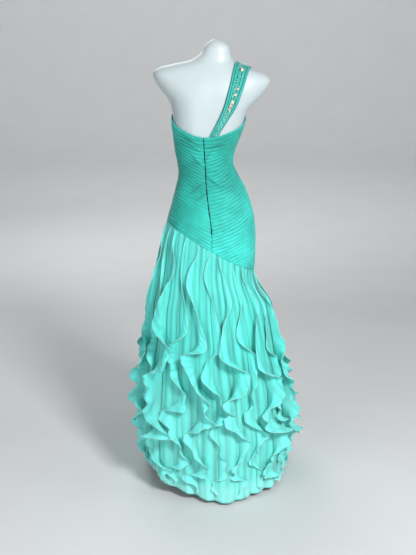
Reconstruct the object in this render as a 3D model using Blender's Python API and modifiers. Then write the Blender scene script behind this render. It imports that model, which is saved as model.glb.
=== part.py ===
"""Evening dress on a dress form, as one rigid object.

A one-shoulder bodice of slanting pleats is cut on a slant at the hip. Below it a flared
underskirt of gores carries cascading flounces in two layers. The dress hangs on a limbless
torso form that stands on a pole and a round base.

Frame: metres, +Z up, origin on the floor under the middle of the base. The back of the dress,
with its zip, faces -Y, and the wearer's right is +X. An angle round the body is in degrees from
the centre back, positive towards +X.
"""

import math
from collections import namedtuple

import bmesh
import bpy
from mathutils import Matrix, Vector
from mathutils.bvhtree import BVHTree

# Driving sizes
SEAM_HEIGHT = 0.872          # height of the slanted hip seam on the middle line
SEAM_SLOPE = 0.59            # its fall for each metre towards +X
HEM_HEIGHT = 0.026
TRAIN_DROP = 0.016           # the hem is lower than that at the centre back
RAISED_HEM = 0.022           # and higher at the left of the back, which shows the base
FORM_GAP = 0.0027            # from the form to the inside of the cloth
RING_SPACING = 0.034         # the most between the form's rings
WALL = 0.0020                # pleated bodice cloth with its foundation
PLEAT_RISE = 0.0026
PLEAT_PITCH = 0.0123         # between the pleats of the back
FRONT_PITCH = 0.0157         # the front has wider pleats than the back
PLEAT_CLIMB = 0.105          # from the zip to the right side, low on the back
SKIRT_WALL = 0.0012
FLOUNCE_WALL = 0.0012
SEAM_GAP = 0.0003
BASE_RADIUS = 0.219
BASE_HEIGHT = 0.008
RIM_WIDTH = 0.007
POLE_RADIUS = 0.0125
POLE_SIDES = 20
ZIP_WIDTH = 0.0056
ZIP_BOTTOM = 0.884           # the closed seam under the zip is part of its strip

# Resolution of the solids
FORM_SIDES = 24
SKIRT_COLUMNS = 40
SKIRT_ROWS = (0.0, 0.05, 0.11, 0.20, 0.32, 0.46, 0.62, 0.80, 1.0)
GORES = 8
FIRST_SEAM = 27              # the angle of a seam between gores

# Squareness of every section: 2 is an ellipse
SECTION_POWER = 2.2

Section = namedtuple("Section", "z centre_x half_width back front")

FORM_SECTIONS = [
    Section(0.620, -0.014, 0.142, 0.094, 0.080),
    Section(0.700, -0.014, 0.154, 0.108, 0.088),
    Section(0.800, -0.014, 0.161, 0.117, 0.096),
    Section(0.890, -0.013, 0.162, 0.117, 0.101),
    Section(0.960, -0.008, 0.153, 0.108, 0.102),
    Section(1.020, -0.006, 0.138, 0.095, 0.099),
    Section(1.080, -0.009, 0.119, 0.083, 0.093),
    Section(1.130, -0.017, 0.100, 0.077, 0.087),
    Section(1.165, -0.026, 0.093, 0.076, 0.085),
    Section(1.205, -0.029, 0.098, 0.080, 0.087),
    Section(1.250, -0.024, 0.109, 0.088, 0.092),
    Section(1.300, -0.018, 0.121, 0.094, 0.097),
    Section(1.350, -0.013, 0.131, 0.098, 0.100),
    Section(1.385, -0.006, 0.149, 0.099, 0.096),
    Section(1.420, -0.005, 0.178, 0.096, 0.086),
    Section(1.450, -0.005, 0.198, 0.088, 0.071),
    Section(1.472, -0.006, 0.203, 0.079, 0.059),
    Section(1.492, -0.007, 0.184, 0.069, 0.050),
    Section(1.508, -0.006, 0.134, 0.060, 0.045),
    Section(1.522, 0.000, 0.084, 0.053, 0.045),
    Section(1.538, 0.005, 0.061, 0.048, 0.047),
    Section(1.555, 0.011, 0.049, 0.045, 0.049),
    Section(1.570, 0.013, 0.045, 0.042, 0.049),
    Section(1.584, 0.014, 0.036, 0.034, 0.041),
    Section(1.594, 0.014, 0.022, 0.021, 0.027),
    Section(1.599, 0.014, 0.010, 0.010, 0.013),
]

SKIRT_SECTIONS = [
    Section(0.010, 0.013, 0.260, 0.336, 0.250),
    Section(0.060, 0.013, 0.262, 0.318, 0.248),
    Section(0.150, 0.013, 0.264, 0.290, 0.242),
    Section(0.250, 0.011, 0.260, 0.264, 0.230),
    Section(0.350, 0.007, 0.250, 0.238, 0.215),
    Section(0.450, 0.001, 0.236, 0.216, 0.198),
    Section(0.560, -0.002, 0.220, 0.194, 0.178),
    Section(0.650, -0.009, 0.208, 0.170, 0.154),
    Section(0.720, -0.012, 0.191, 0.150, 0.133),
    Section(0.800, -0.018, 0.172, 0.130, 0.112),
    Section(0.890, -0.013, 0.168, 0.124, 0.107),
    Section(0.980, -0.008, 0.157, 0.112, 0.106),
]

NeckPoint = namedtuple("NeckPoint", "angle z")
NECKLINE = [
    NeckPoint(0, 1.2685),
    NeckPoint(20, 1.2735),
    NeckPoint(40, 1.288),
    NeckPoint(60, 1.303),
    NeckPoint(90, 1.329),
    NeckPoint(120, 1.342),
    NeckPoint(145, 1.355),
    NeckPoint(165, 1.346),
    NeckPoint(180, 1.336),
]

ZipPoint = namedtuple("ZipPoint", "z x")
ZIP_LINE = [
    ZipPoint(0.700, -0.004),
    ZipPoint(0.860, -0.007),
    ZipPoint(0.915, -0.005),
    ZipPoint(0.965, -0.008),
    ZipPoint(1.037, -0.018),
    ZipPoint(1.108, -0.025),
    ZipPoint(1.175, -0.029),
    ZipPoint(1.265, -0.036),
]

# Strap over the right shoulder: a turn about the shoulder, 0 pointing at the back, 90 up
StrapPoint = namedtuple("StrapPoint", "turn x half_width")
STRAP = [
    StrapPoint(-40.8, 0.0025, 0.0142),
    StrapPoint(-30, 0.0141, 0.0148),
    StrapPoint(-20, 0.0242, 0.0157),
    StrapPoint(0, 0.0414, 0.0180),
    StrapPoint(20, 0.0566, 0.0203),
    StrapPoint(40, 0.0702, 0.0222),
    StrapPoint(62, 0.0870, 0.0242),
    StrapPoint(90, 0.1040, 0.0255),
    StrapPoint(125, 0.103, 0.0245),
    StrapPoint(150, 0.094, 0.0225),
    StrapPoint(176, 0.082, 0.0220),
]
STRAP_PIVOT = Vector((0.0, -0.005, 1.345))
STRAP_OUT = 0.0042
STRAP_WALL = 0.0016
STRAP_FOLD = 0.0012

# Large stones on the strap: across runs from -1 at its inner edge to 1 at its outer edge
Stone = namedtuple("Stone", "turn across length width")
STONES = [
    Stone(71, 0.20, 0.0155, 0.0115),
    Stone(47, 0.30, 0.0100, 0.0085),
    Stone(39, 0.30, 0.0110, 0.0085),
    Stone(27, 0.22, 0.0160, 0.0130),
    Stone(20, 0.10, 0.0110, 0.0105),
    Stone(14, 0.08, 0.0090, 0.0085),
]
STONE_HEIGHT = 0.0050
STONE_SEAT = 0.0005

# Flounces: side is the way the top lies, 1 towards +X; shift moves its waves, in half waves
Flounce = namedtuple("Flounce", "side shift fullness")
FLOUNCES = [
    Flounce(1, 0.30, 1.00),      # 0 degrees, the centre back
    Flounce(-1, 0.10, 1.00),
    Flounce(-1, 0.42, 0.95),
    Flounce(-1, 0.00, 1.00),
    Flounce(-1, 0.25, 0.95),
    Flounce(1, 0.30, 1.00),
    Flounce(-1, 0.45, 1.00),     # 90 degrees, the right side
    Flounce(1, 0.15, 0.95),
    Flounce(-1, 0.35, 1.00),
    Flounce(-1, 0.05, 1.00),
    Flounce(1, 0.40, 0.95),
    Flounce(-1, 0.20, 1.00),
    Flounce(1, 0.00, 1.00),      # 180 degrees, the centre front
    Flounce(1, 0.35, 1.00),
    Flounce(-1, 0.15, 0.95),
    Flounce(1, 0.45, 1.00),
    Flounce(1, 0.10, 1.00),
    Flounce(-1, 0.30, 0.95),
    Flounce(1, 0.20, 1.00),      # 270 degrees, the left side
    Flounce(-1, 0.05, 1.00),
    Flounce(1, 0.40, 0.95),
    Flounce(-1, 0.10, 1.00),
    Flounce(1, 0.48, 0.95),
    Flounce(1, 0.15, 1.00),
]
FLOUNCE_STEP = 360 / len(FLOUNCES)
HALF_WAVES = 7
BEFORE_TURN = 0.38           # share of a half wave where the cloth starts to turn over
ROW_SPACE = 0.12
SWING = math.radians(76)
LIFT = 0.5                   # how far the turning cloth stands out, as a share of its width
UPPER_REACH = 0.82            # width of the flounces of the two layers, in steps round the skirt
LOWER_REACH = 0.70
HEM_LIFT = 0.4                # how far they stand out at the hem, as a share of that higher up
HIP_REACH = 0.72              # their width near the hip, as a share of that lower down
UPPER_RISE = 0.42
FLOUNCE_ACROSS = (0.0, 0.4, 1.0)
FLOUNCE_ROOT_LEVEL = 0.0034
FLOUNCE_TOP_LEVEL = 0.0010    # the same at its sewn top end
SKIRT_LENGTH = 0.86
DROOP_STARTS = 0.0018
DROOP_GROWS = 0.0030


def smooth(x):
    """0 below 0, 1 above 1, and an even S between."""
    x = min(1.0, max(0.0, x))
    return x * x * (3 - 2 * x)


def mix(a, b, share):
    return a + (b - a) * share


def look_up(table, at):
    """A table's row at this value of its first column, on a smooth curve through its rows."""
    keys = [row[0] for row in table]
    at = min(max(at, keys[0]), keys[-1])
    i = min(max(k for k, key in enumerate(keys) if key <= at), len(keys) - 2)
    span = keys[i + 1] - keys[i]
    x = (at - keys[i]) / span

    def slope(k, column):
        low, high = max(k - 1, 0), min(k + 1, len(keys) - 1)
        return (table[high][column] - table[low][column]) / (keys[high] - keys[low])

    values = [at]
    for column in range(1, len(table[0])):
        start, end = table[i][column], table[i + 1][column]
        go, stop = slope(i, column) * span, slope(i + 1, column) * span
        values.append(
            (2 * x**3 - 3 * x**2 + 1) * start
            + (x**3 - 2 * x**2 + x) * go
            + (3 * x**2 - 2 * x**3) * end
            + (x**3 - x**2) * stop
        )
    return table[0]._make(values)


def section_point(section, angle):
    """The point of a closed section at an angle round the body."""
    turn = math.radians(angle)
    side, ahead = math.sin(turn), -math.cos(turn)
    swell = (abs(side) ** SECTION_POWER + abs(ahead) ** SECTION_POWER) ** (-1 / SECTION_POWER)
    depth = section.front if ahead > 0 else section.back
    across = section.half_width * swell * side
    return Vector((section.centre_x + across, depth * swell * ahead, section.z))


def bell(value, middle, width):
    return math.exp(-(((value - middle) / width) ** 2))


def form_shape(angle, z):
    """The form's surface: the sections, a soft bust and the hollow along the spine."""
    point = section_point(look_up(FORM_SECTIONS, z), angle)
    angle = (angle + 180) % 360 - 180
    bust = 0.026 * bell(abs(angle), 146, 24) * bell(z, 1.298, 0.052)
    spine = 0.006 * bell(angle, 0, 13) * bell(z, 1.32, 0.13)
    outward = Vector((point.x, point.y, 0)).normalized()
    point += outward * (bust - spine)
    point.z -= 0.05 * point.x * smooth((z - 1.22) / 0.24)
    return point


def normal_of(surface, angle, z):
    """The outward normal of a surface that takes an angle and a height."""
    across = surface(angle + 1, z) - surface(angle - 1, z)
    up = surface(angle, z + 0.004) - surface(angle, z - 0.004)
    return across.cross(up).normalized()


def level_normal(surface, angle, z):
    normal = normal_of(surface, angle, z)
    normal.z = 0
    return normal.normalized()


def body_point(angle, z, out):
    """A point this far out from the form, straight out and level."""
    z = max(z, FORM_SECTIONS[0].z)
    return form_shape(angle, z) + level_normal(form_shape, angle, z) * out


def seam_height(surface, angle, drop=0.0):
    """The height where a surface meets the slanted seam at this angle."""
    z = SEAM_HEIGHT
    for _ in range(12):
        z = SEAM_HEIGHT - drop - SEAM_SLOPE * surface(angle, z).x
    return z


def hem_height(angle):
    angle = (angle + 180) % 360 - 180
    return HEM_HEIGHT + RAISED_HEM * bell(angle, -48, 26) - TRAIN_DROP * bell(angle, 8, 34)


def skirt_shape(angle, down):
    """The underskirt's outer face: down is 0 at the slanted seam and 1 at the hem."""
    out = FORM_GAP + SKIRT_WALL
    top = seam_height(lambda a, z: body_point(a, z, out), angle, 0.0014)
    z = mix(top, hem_height(angle), down)
    drift = 2.5 * math.sin(math.radians(2 * angle + 40)) * smooth(down / 0.8)
    on_body = body_point(angle + drift, z, out)
    full = section_point(look_up(SKIRT_SECTIONS, z), angle + drift)
    point = on_body.lerp(full, smooth(down / 0.17))
    valley = math.cos(math.radians(GORES * (angle - FIRST_SEAM)))
    folds = -0.009 * smooth((down - 0.2) / 0.8) * valley
    point += Vector((point.x, point.y, 0)).normalized() * folds
    point.z = z
    return point


def grid_faces(rows, columns, first=0):
    """Faces of a grid of points, row by row. Angles run on and rows run down, facing out."""
    return [
        (
            first + r * columns + c,
            first + (r + 1) * columns + c,
            first + (r + 1) * columns + c + 1,
            first + r * columns + c + 1,
        )
        for r in range(rows - 1)
        for c in range(columns - 1)
    ]


def material(name, colour, roughness, metallic=0.0):
    made = bpy.data.materials.new(name)
    made.use_nodes = True
    shader = made.node_tree.nodes["Principled BSDF"]
    shader.inputs["Base Color"].default_value = (*colour, 1)
    shader.inputs["Roughness"].default_value = roughness
    shader.inputs["Metallic"].default_value = metallic
    return made


def add_object(name, bm, finish, collection, sharp=30):
    """A new object in the part from a mesh being edited."""
    mesh = bpy.data.meshes.new(name)
    bm.to_mesh(mesh)
    bm.free()
    mesh.shade_smooth()
    mesh.set_sharp_from_angle(angle=math.radians(sharp))
    mesh.materials.append(finish)
    obj = bpy.data.objects.new(name, mesh)
    collection.objects.link(obj)
    return obj


def mesh_from(points, faces):
    bm = bmesh.new()
    corners = [bm.verts.new(point) for point in points]
    for face in faces:
        bm.faces.new([corners[i] for i in face])
    return bm


def thicken(obj, wall, offset):
    """Solidify: offset 0 is centred, -1 puts the wall inside the surface."""
    shell = obj.modifiers.new("Wall", "SOLIDIFY")
    shell.thickness = wall
    shell.offset = offset
    return obj


# Dress form and stand


def build_form(finish, collection):
    """The torso: a loft of closed rings with a flat bottom and a rounded neck."""
    bm = bmesh.new()
    rings = []
    heights = [FORM_SECTIONS[0].z]
    for section in FORM_SECTIONS[1:]:
        if section.z - heights[-1] > RING_SPACING:
            heights.append((section.z + heights[-1]) / 2)
        heights.append(section.z)
    for z in heights:
        angles = [360 * i / FORM_SIDES for i in range(FORM_SIDES)]
        rings.append([bm.verts.new(form_shape(a, z)) for a in angles])
    for low, high in zip(rings, rings[1:]):
        for i in range(FORM_SIDES):
            j = (i + 1) % FORM_SIDES
            bm.faces.new((low[i], low[j], high[j], high[i]))
    bm.faces.new(rings[0][::-1])
    bm.faces.new(rings[-1])
    return add_object("form_torso", bm, finish, collection)


def cylinder(name, radius, bottom, top, sides, finish, collection, bevel=0.0):
    bm = bmesh.new()
    bmesh.ops.create_cone(
        bm, cap_ends=True, segments=sides, radius1=radius, radius2=radius, depth=top - bottom
    )
    bmesh.ops.translate(bm, verts=bm.verts, vec=(0, 0, (top + bottom) / 2))
    obj = add_object(name, bm, finish, collection)
    if bevel:
        edge = obj.modifiers.new("Edge", "BEVEL")
        edge.width = bevel
        edge.segments = 1
        edge.limit_method = "ANGLE"
    return obj


def build_stand(dark, brass, steel, collection):
    """Base plate, its rim, the pole with a foot collar, and the plate under the torso."""
    form_bottom = FORM_SECTIONS[0].z
    cylinder("stand_base", BASE_RADIUS, 0, BASE_HEIGHT, 40, dark, collection)
    rim_top = BASE_HEIGHT + 0.001
    rim = ((0.0003, rim_top), (RIM_WIDTH, rim_top), (RIM_WIDTH, 0.0), (0.0003, 0.0))
    turned("stand_rim", [(BASE_RADIUS + r, z) for r, z in rim], 40, brass, collection)
    foot_top = BASE_HEIGHT + SEAM_GAP + 0.022
    cylinder("pole_foot", 0.034, BASE_HEIGHT + SEAM_GAP, foot_top, 24, steel, collection, 0.003)
    plate_bottom = form_bottom - SEAM_GAP - 0.012
    cylinder(
        "stand_pole", POLE_RADIUS, foot_top + SEAM_GAP, plate_bottom - SEAM_GAP,
        POLE_SIDES, steel, collection,
    )
    cylinder("form_plate", 0.045, plate_bottom, form_bottom - SEAM_GAP, 24, steel, collection, 0.003)


def turned(name, outline, sides, finish, collection):
    """A closed outline of radius and height, turned about the Z axis with a Screw."""
    bm = bmesh.new()
    corners = [bm.verts.new((radius, 0, z)) for radius, z in outline]
    for start, end in zip(corners, corners[1:] + corners[:1]):
        bm.edges.new((start, end))
    obj = add_object(name, bm, finish, collection)
    screw = obj.modifiers.new("Turn", "SCREW")
    screw.steps = screw.render_steps = sides
    screw.use_merge_vertices = True
    screw.merge_threshold = 0.00005
    return obj


# Bodice


def neck_height(angle):
    angle = abs((angle + 180) % 360 - 180)
    return look_up(NECKLINE, angle).z


def zip_angle(z, shift=0.0):
    """The angle of the zip's middle line, or of a line this far beside it."""
    section = look_up(FORM_SECTIONS, z)
    x = look_up(ZIP_LINE, z).x + shift
    return math.degrees(math.asin((x - section.centre_x) / section.half_width))


PANEL_FROM_ZIP = ZIP_WIDTH / 2 + 1.5 * SEAM_GAP
SIDE_EDGE = 90 - math.degrees(0.8 * SEAM_GAP / 0.09)


def left_back_point(row, share, out):
    """Rows run along the neckline at the top and along the hip seam at the bottom."""
    z = mix(NECKLINE[0].z, SEAM_HEIGHT, row)
    for _ in range(3):
        angle = mix(zip_angle(z, -PANEL_FROM_ZIP), -SIDE_EDGE, share)
        low = seam_height(form_shape, angle) - 0.006
        z = mix(neck_height(angle), low, row)
    return body_point(angle, z, out)


def right_back_point(row, share, out):
    """Rows climb to the side all the way down, and the hip seam cuts across them."""
    start = NECKLINE[0].z - row * RIGHT_PLEATS * PLEAT_PITCH
    z = start
    for _ in range(3):
        angle = mix(zip_angle(z, PANEL_FROM_ZIP), SIDE_EDGE, share)
        climb = mix(neck_height(angle) - NECKLINE[0].z, PLEAT_CLIMB * share**1.25, smooth(row * 1.6))
        z = start + climb
    return body_point(angle, z, out)


def front_point(row, share, out):
    """Rows run round the front, level at the hip and shaped to the cups at the top."""
    angle = mix(SIDE_EDGE - 180, -SIDE_EDGE - 180, share)
    level = NECKLINE[4].z - row * FRONT_PLEATS * FRONT_PITCH
    cups = (neck_height(angle) - NECKLINE[4].z) * (1 - smooth(row * 2.2))
    sweep = 0.020 * math.sin(math.pi * share) * smooth(row * 3) * (1 - row)
    return body_point(angle, level + cups + sweep, out)


LEFT_PLEATS = 31
RIGHT_PLEATS = 49
FRONT_PLEATS = 36


def pleated_panel(name, place, pleats, columns, finish, collection):
    """A closed wall with a raised fold for each pleat outside and a plain inside.

    place gives a point for a row share from top to bottom, a column share, and a distance out
    from the form. The inside has one row for two pleats, which are four rows outside. The hip
    seam's plane then trims the bottom.
    """
    rows = 2 * pleats + 1
    inner_rows = pleats // 2 + 1
    shares = [c / (columns - 1) for c in range(columns)]
    base = FORM_GAP + WALL
    outer = []
    for r in range(rows):
        crest = r % 2 == 1
        row = (r + (0.30 if crest else 0.0)) / (rows - 1)
        for share in shares:
            fade = smooth(min(share, 1 - share) / 0.04 + 0.45)
            rise = PLEAT_RISE * fade if crest else 0.0
            outer.append(place(row, share, base + rise))
    inner = [
        place(r / (inner_rows - 1), share, FORM_GAP) for r in range(inner_rows) for share in shares
    ]
    faces = grid_faces(rows, columns)
    faces += [face[::-1] for face in grid_faces(inner_rows, columns, len(outer))]
    first = len(outer)
    last_outer, last_inner = (rows - 1) * columns, first + (inner_rows - 1) * columns
    for c in range(columns - 1):
        faces.append((c, c + 1, first + c + 1, first + c))
        faces.append((last_outer + c + 1, last_outer + c, last_inner + c, last_inner + c + 1))
    for c in (0, columns - 1):
        for r in range(inner_rows - 1):
            down = [(4 * r + k) * columns + c for k in range(5)]
            up = [first + (r + 1) * columns + c, first + r * columns + c]
            faces.append(down + up if c else up[::-1] + down[::-1])
    bm = mesh_from(outer + inner, faces)
    bmesh.ops.triangulate(bm, faces=bm.faces)
    bmesh.ops.recalc_face_normals(bm, faces=bm.faces)
    trim_at_seam(bm)
    return add_object(name, bm, finish, collection, 50)


def trim_at_seam(bm):
    """Cuts away what lies under the hip seam's plane and closes the cut."""
    bmesh.ops.bisect_plane(
        bm,
        geom=bm.verts[:] + bm.edges[:] + bm.faces[:],
        dist=0.00002,
        plane_co=(0, 0, SEAM_HEIGHT),
        plane_no=(SEAM_SLOPE, 0, 1),
        clear_inner=True,
    )
    bmesh.ops.remove_doubles(bm, verts=bm.verts, dist=0.0003)
    bmesh.ops.holes_fill(bm, edges=[e for e in bm.edges if e.is_boundary], sides=0)
    bmesh.ops.triangulate(bm, faces=bm.faces)
    bmesh.ops.recalc_face_normals(bm, faces=bm.faces)


def build_bodice(finish, collection):
    pleated_panel("bodice_back_left", left_back_point, LEFT_PLEATS, 7, finish, collection)
    pleated_panel("bodice_back_right", right_back_point, RIGHT_PLEATS, 7, finish, collection)
    pleated_panel("bodice_front", front_point, FRONT_PLEATS, 13, finish, collection)


def build_zip(tape_finish, collection):
    """The zip's tape and coil as one narrow strip, down to the hip seam."""
    rows = 20
    top = NECKLINE[0].z - 0.004
    points = []
    for r in range(rows):
        z = mix(top, ZIP_BOTTOM, r / (rows - 1))
        for shift in (-ZIP_WIDTH / 2, ZIP_WIDTH / 2):
            points.append(body_point(zip_angle(z, shift), z, FORM_GAP + WALL * 0.9))
    strip = add_object("back_zip", mesh_from(points, grid_faces(rows, 2)), tape_finish, collection)
    thicken(strip, WALL * 0.6, -1)


# Shoulder strap


def surface_of(obj):
    """A search tree over an object's finished faces."""
    bpy.context.view_layer.update()
    return BVHTree.FromObject(obj, bpy.context.evaluated_depsgraph_get())


def strap_point(tree, turn, across):
    """Where a piece of the strap meets a surface under it, and the normal there.

    The ray runs towards the middle of the shoulder.
    """
    at = look_up(STRAP, turn)
    away = Vector((0, -math.cos(math.radians(turn)), math.sin(math.radians(turn))))
    pivot = STRAP_PIVOT + Vector((at.x + across * at.half_width, 0, 0))
    point, normal, _, _ = tree.ray_cast(pivot + away * 0.4, -away)
    return point, normal


def build_strap(tree, finish, collection):
    """A gathered strap that lies on the form, from the back neckline to the right cup."""
    rows, columns = 27, 7
    points = []
    for r in range(rows):
        turn = mix(STRAP[0].turn, STRAP[-1].turn, r / (rows - 1))
        for c in range(columns):
            fold = STRAP_FOLD if c % 2 else 0.0
            point, normal = strap_point(tree, turn, 2 * c / (columns - 1) - 1)
            points.append(point + normal * (STRAP_OUT + fold))
    strap = add_object("shoulder_strap", mesh_from(points, grid_faces(rows, columns)), finish, collection)
    return thicken(strap, STRAP_WALL, -1)


def build_stones(tree, finish, collection):
    """Oval stones that stand just clear of the strap's folds."""
    for number, stone in enumerate(STONES, 1):
        point, normal = strap_point(tree, stone.turn, stone.across)
        ahead, _ = strap_point(tree, stone.turn + 4, stone.across)
        along = (ahead - point - normal * (ahead - point).dot(normal)).normalized()
        centre = point + normal * (STONE_HEIGHT / 2 + STONE_SEAT)
        frame = Matrix((along, normal.cross(along), normal)).transposed().to_4x4()
        size = Matrix.Diagonal((stone.length, stone.width, STONE_HEIGHT, 1))
        bm = bmesh.new()
        bmesh.ops.create_icosphere(bm, subdivisions=1, radius=0.5)
        bmesh.ops.transform(bm, verts=bm.verts, matrix=Matrix.Translation(centre) @ frame @ size)
        add_object(f"strap_stone_{number}", bm, finish, collection)


# Underskirt and flounces


def skirt_grid():
    """The underskirt's corner points: a row for each share down, a column round the body."""
    return [
        [skirt_shape(360 * c / SKIRT_COLUMNS, down) for c in range(SKIRT_COLUMNS)]
        for down in SKIRT_ROWS
    ]


def build_underskirt(grid, finish, collection):
    """Gores, each a wall of the grid between two seams."""
    width = SKIRT_COLUMNS // GORES
    for gore in range(GORES):
        start = gore * width - width // 2
        points = []
        for row in grid:
            for c in range(width + 1):
                point = row[(start + c) % SKIRT_COLUMNS].copy()
                toward = row[(start + c + (1 if c == 0 else -1)) % SKIRT_COLUMNS]
                if c in (0, width):
                    point += (toward - point).normalized() * SEAM_GAP / 2
                points.append(point)
        faces = grid_faces(len(grid), width + 1)
        panel = add_object(f"underskirt_gore_{gore + 1}", mesh_from(points, faces), finish, collection)
        thicken(panel, SKIRT_WALL, -1)


def on_grid(grid, angle, down):
    """A point on the underskirt's flat facets, and the outward normal there."""
    column = (angle % 360) / 360 * SKIRT_COLUMNS
    c = int(column) % SKIRT_COLUMNS
    share = column - int(column)
    r = max(k for k in range(len(SKIRT_ROWS) - 1) if SKIRT_ROWS[k] <= down or k == 0)
    along = (down - SKIRT_ROWS[r]) / (SKIRT_ROWS[r + 1] - SKIRT_ROWS[r])
    left = grid[r][c].lerp(grid[r + 1][c], along)
    right = grid[r][(c + 1) % SKIRT_COLUMNS].lerp(grid[r + 1][(c + 1) % SKIRT_COLUMNS], along)
    point = left.lerp(right, share)
    out = Vector((right.y - left.y, left.x - right.x, 0)).normalized()
    return point, out


def root_down(wave):
    """How far down the skirt a flounce is sewn at a count of half waves."""
    return 0.004 + 0.2 * wave - 0.0089 * wave * wave


def flounce_rows(shift):
    """Where a flounce has its rows: flat on one side or the other, and beside each turn.

    They are counted in half waves from its top.
    """
    rows = [0.0]
    for half_wave in range(HALF_WAVES + 2):
        for part in (0, BEFORE_TURN, 1 - BEFORE_TURN):
            wave = half_wave + part - shift
            if ROW_SPACE < wave < HALF_WAVES - ROW_SPACE:
                rows.append(wave)
    return rows + [HALF_WAVES]


def flounce_point(grid, number, wave, across):
    """A point of a flounce: wave runs down it in half waves, across from its seam to its edge.

    The cloth turns over from one side of its seam to the other like a page, and droops as it
    turns. Every second flounce rises over its neighbours, so that two layers never meet.
    """
    flounce = FLOUNCES[number]
    upper = number % 2 == 1
    down = root_down(wave)
    step_length = 2 * math.pi * mix(0.150, 0.270, smooth(down / 0.55)) / len(FLOUNCES)
    narrow_top = mix(0.30, 1.0, smooth(down / 0.20))
    reach = (UPPER_REACH if upper else LOWER_REACH) * narrow_top * flounce.fullness
    reach *= mix(HIP_REACH, 1.0, smooth((down - 0.12) / 0.45))
    width = reach * step_length
    swing = flounce.side * SWING * math.cos(math.pi * (wave + flounce.shift))
    rise = width * across * math.cos(swing) * LIFT
    if upper:
        rise += UPPER_RISE * width * smooth(across / 0.4)
    rise *= mix(1.0, HEM_LIFT, smooth((down - 0.80) / 0.17))
    level = mix(FLOUNCE_TOP_LEVEL, FLOUNCE_ROOT_LEVEL, smooth(3 * wave)) + rise
    # Narrow cloth stands too near the skirt to hang over its own seam
    droop = smooth((0.4 * width * LIFT - DROOP_STARTS) / DROOP_GROWS) * math.sqrt(1 - LIFT**2)
    hang = mix(1.0, 0.25, smooth((down - 0.78) / 0.19)) / SKIRT_LENGTH
    point, out = on_grid(
        grid,
        number * FLOUNCE_STEP + FLOUNCE_STEP * reach * across * math.sin(swing),
        down + width * across * math.cos(swing) * droop * hang,
    )
    return point + out * level


def build_flounces(grid, finish, collection):
    for number, flounce in enumerate(FLOUNCES):
        rows = flounce_rows(flounce.shift)
        points = [flounce_point(grid, number, row, across) for row in rows for across in FLOUNCE_ACROSS]
        faces = grid_faces(len(rows), len(FLOUNCE_ACROSS))
        cloth = add_object(f"flounce_{number + 1:02d}", mesh_from(points, faces), finish, collection)
        thicken(cloth, FLOUNCE_WALL, 0)


def main():
    for obj in list(bpy.data.objects):
        bpy.data.objects.remove(obj)
    dress = bpy.data.collections.new("Evening dress on a form")
    bpy.context.scene.collection.children.link(dress)
    chiffon = material("Sea green chiffon", (0.09, 0.62, 0.50), 0.6)
    lining = material("Sea green lining", (0.06, 0.45, 0.36), 0.5)
    white = material("White form", (0.78, 0.84, 0.85), 0.45)
    dark = material("Dark base", (0.02, 0.02, 0.02), 0.25)
    brass = material("Tan rim", (0.36, 0.27, 0.18), 0.4)
    steel = material("Brushed steel", (0.5, 0.5, 0.5), 0.3, 1.0)
    zip_green = material("Zip tape", (0.02, 0.16, 0.13), 0.7)
    crystal = material("Champagne stones", (0.75, 0.68, 0.48), 0.1)
    form = build_form(white, dress)
    build_stand(dark, brass, steel, dress)
    build_bodice(chiffon, dress)
    build_zip(zip_green, dress)
    strap = build_strap(surface_of(form), chiffon, dress)
    build_stones(surface_of(strap), crystal, dress)
    grid = skirt_grid()
    build_underskirt(grid, lining, dress)
    build_flounces(grid, chiffon, dress)


main()
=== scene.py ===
"""Evening dress on a dress form: the finished cloth, trimmings, form and stage.

Frame: metres, +Z up. The back of the dress faces -Y and the wearer's right is +X. An angle
round the body is in degrees from the centre back, positive towards +X.
"""

import math
from collections import namedtuple
from contextlib import contextmanager

import bmesh
import bpy
import numpy as np
from bpy.props import FloatProperty, FloatVectorProperty, IntProperty, PointerProperty
from mathutils import Matrix, Vector
from mathutils.bvhtree import BVHTree


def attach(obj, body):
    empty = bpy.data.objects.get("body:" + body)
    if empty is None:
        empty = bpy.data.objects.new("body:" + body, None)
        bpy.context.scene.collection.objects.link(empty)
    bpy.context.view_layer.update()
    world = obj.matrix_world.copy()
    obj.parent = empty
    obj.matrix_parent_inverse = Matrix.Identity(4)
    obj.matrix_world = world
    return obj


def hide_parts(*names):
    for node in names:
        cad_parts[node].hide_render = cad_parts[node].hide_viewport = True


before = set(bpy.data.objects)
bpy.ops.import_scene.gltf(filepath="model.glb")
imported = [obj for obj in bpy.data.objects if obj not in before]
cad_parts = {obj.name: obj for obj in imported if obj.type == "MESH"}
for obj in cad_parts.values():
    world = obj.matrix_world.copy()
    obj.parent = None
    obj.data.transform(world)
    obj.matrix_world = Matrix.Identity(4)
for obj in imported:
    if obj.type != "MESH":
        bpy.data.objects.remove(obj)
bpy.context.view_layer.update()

bl_info = {
    "name": "Evening dress on a dress form",
    "version": (1, 0, 0),
    "blender": (4, 5, 0),
    "location": "View3D > Sidebar > Dress",
    "description": "Builds the cloth, trimmings, form and stage of an evening dress",
    "category": "Object",
}

BODY = "root"
GORES = 8
FLOUNCE_COUNT = 24

# Sizes shared with the solids
SEAM_HEIGHT = 0.872
SEAM_SLOPE = 0.59
HEM_HEIGHT = 0.026
TRAIN_DROP = 0.016
RAISED_HEM = 0.022
FORM_GAP = 0.0027
WALL = 0.0020
PANEL_FACE = FORM_GAP + WALL - 0.0004
PLEAT_RISE = 0.0026
PLEAT_PITCH = 0.0123
FRONT_PITCH = 0.0157
PLEAT_CLIMB = 0.105
SKIRT_WALL = 0.0012
SEAM_GAP = 0.0003
BASE_RADIUS = 0.219
BASE_HEIGHT = 0.008
RIM_WIDTH = 0.007
ZIP_WIDTH = 0.0056
ZIP_BOTTOM = 0.925
FIRST_SEAM = 27
SECTION_POWER = 2.2

Section = namedtuple("Section", "z centre_x half_width back front")

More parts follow.
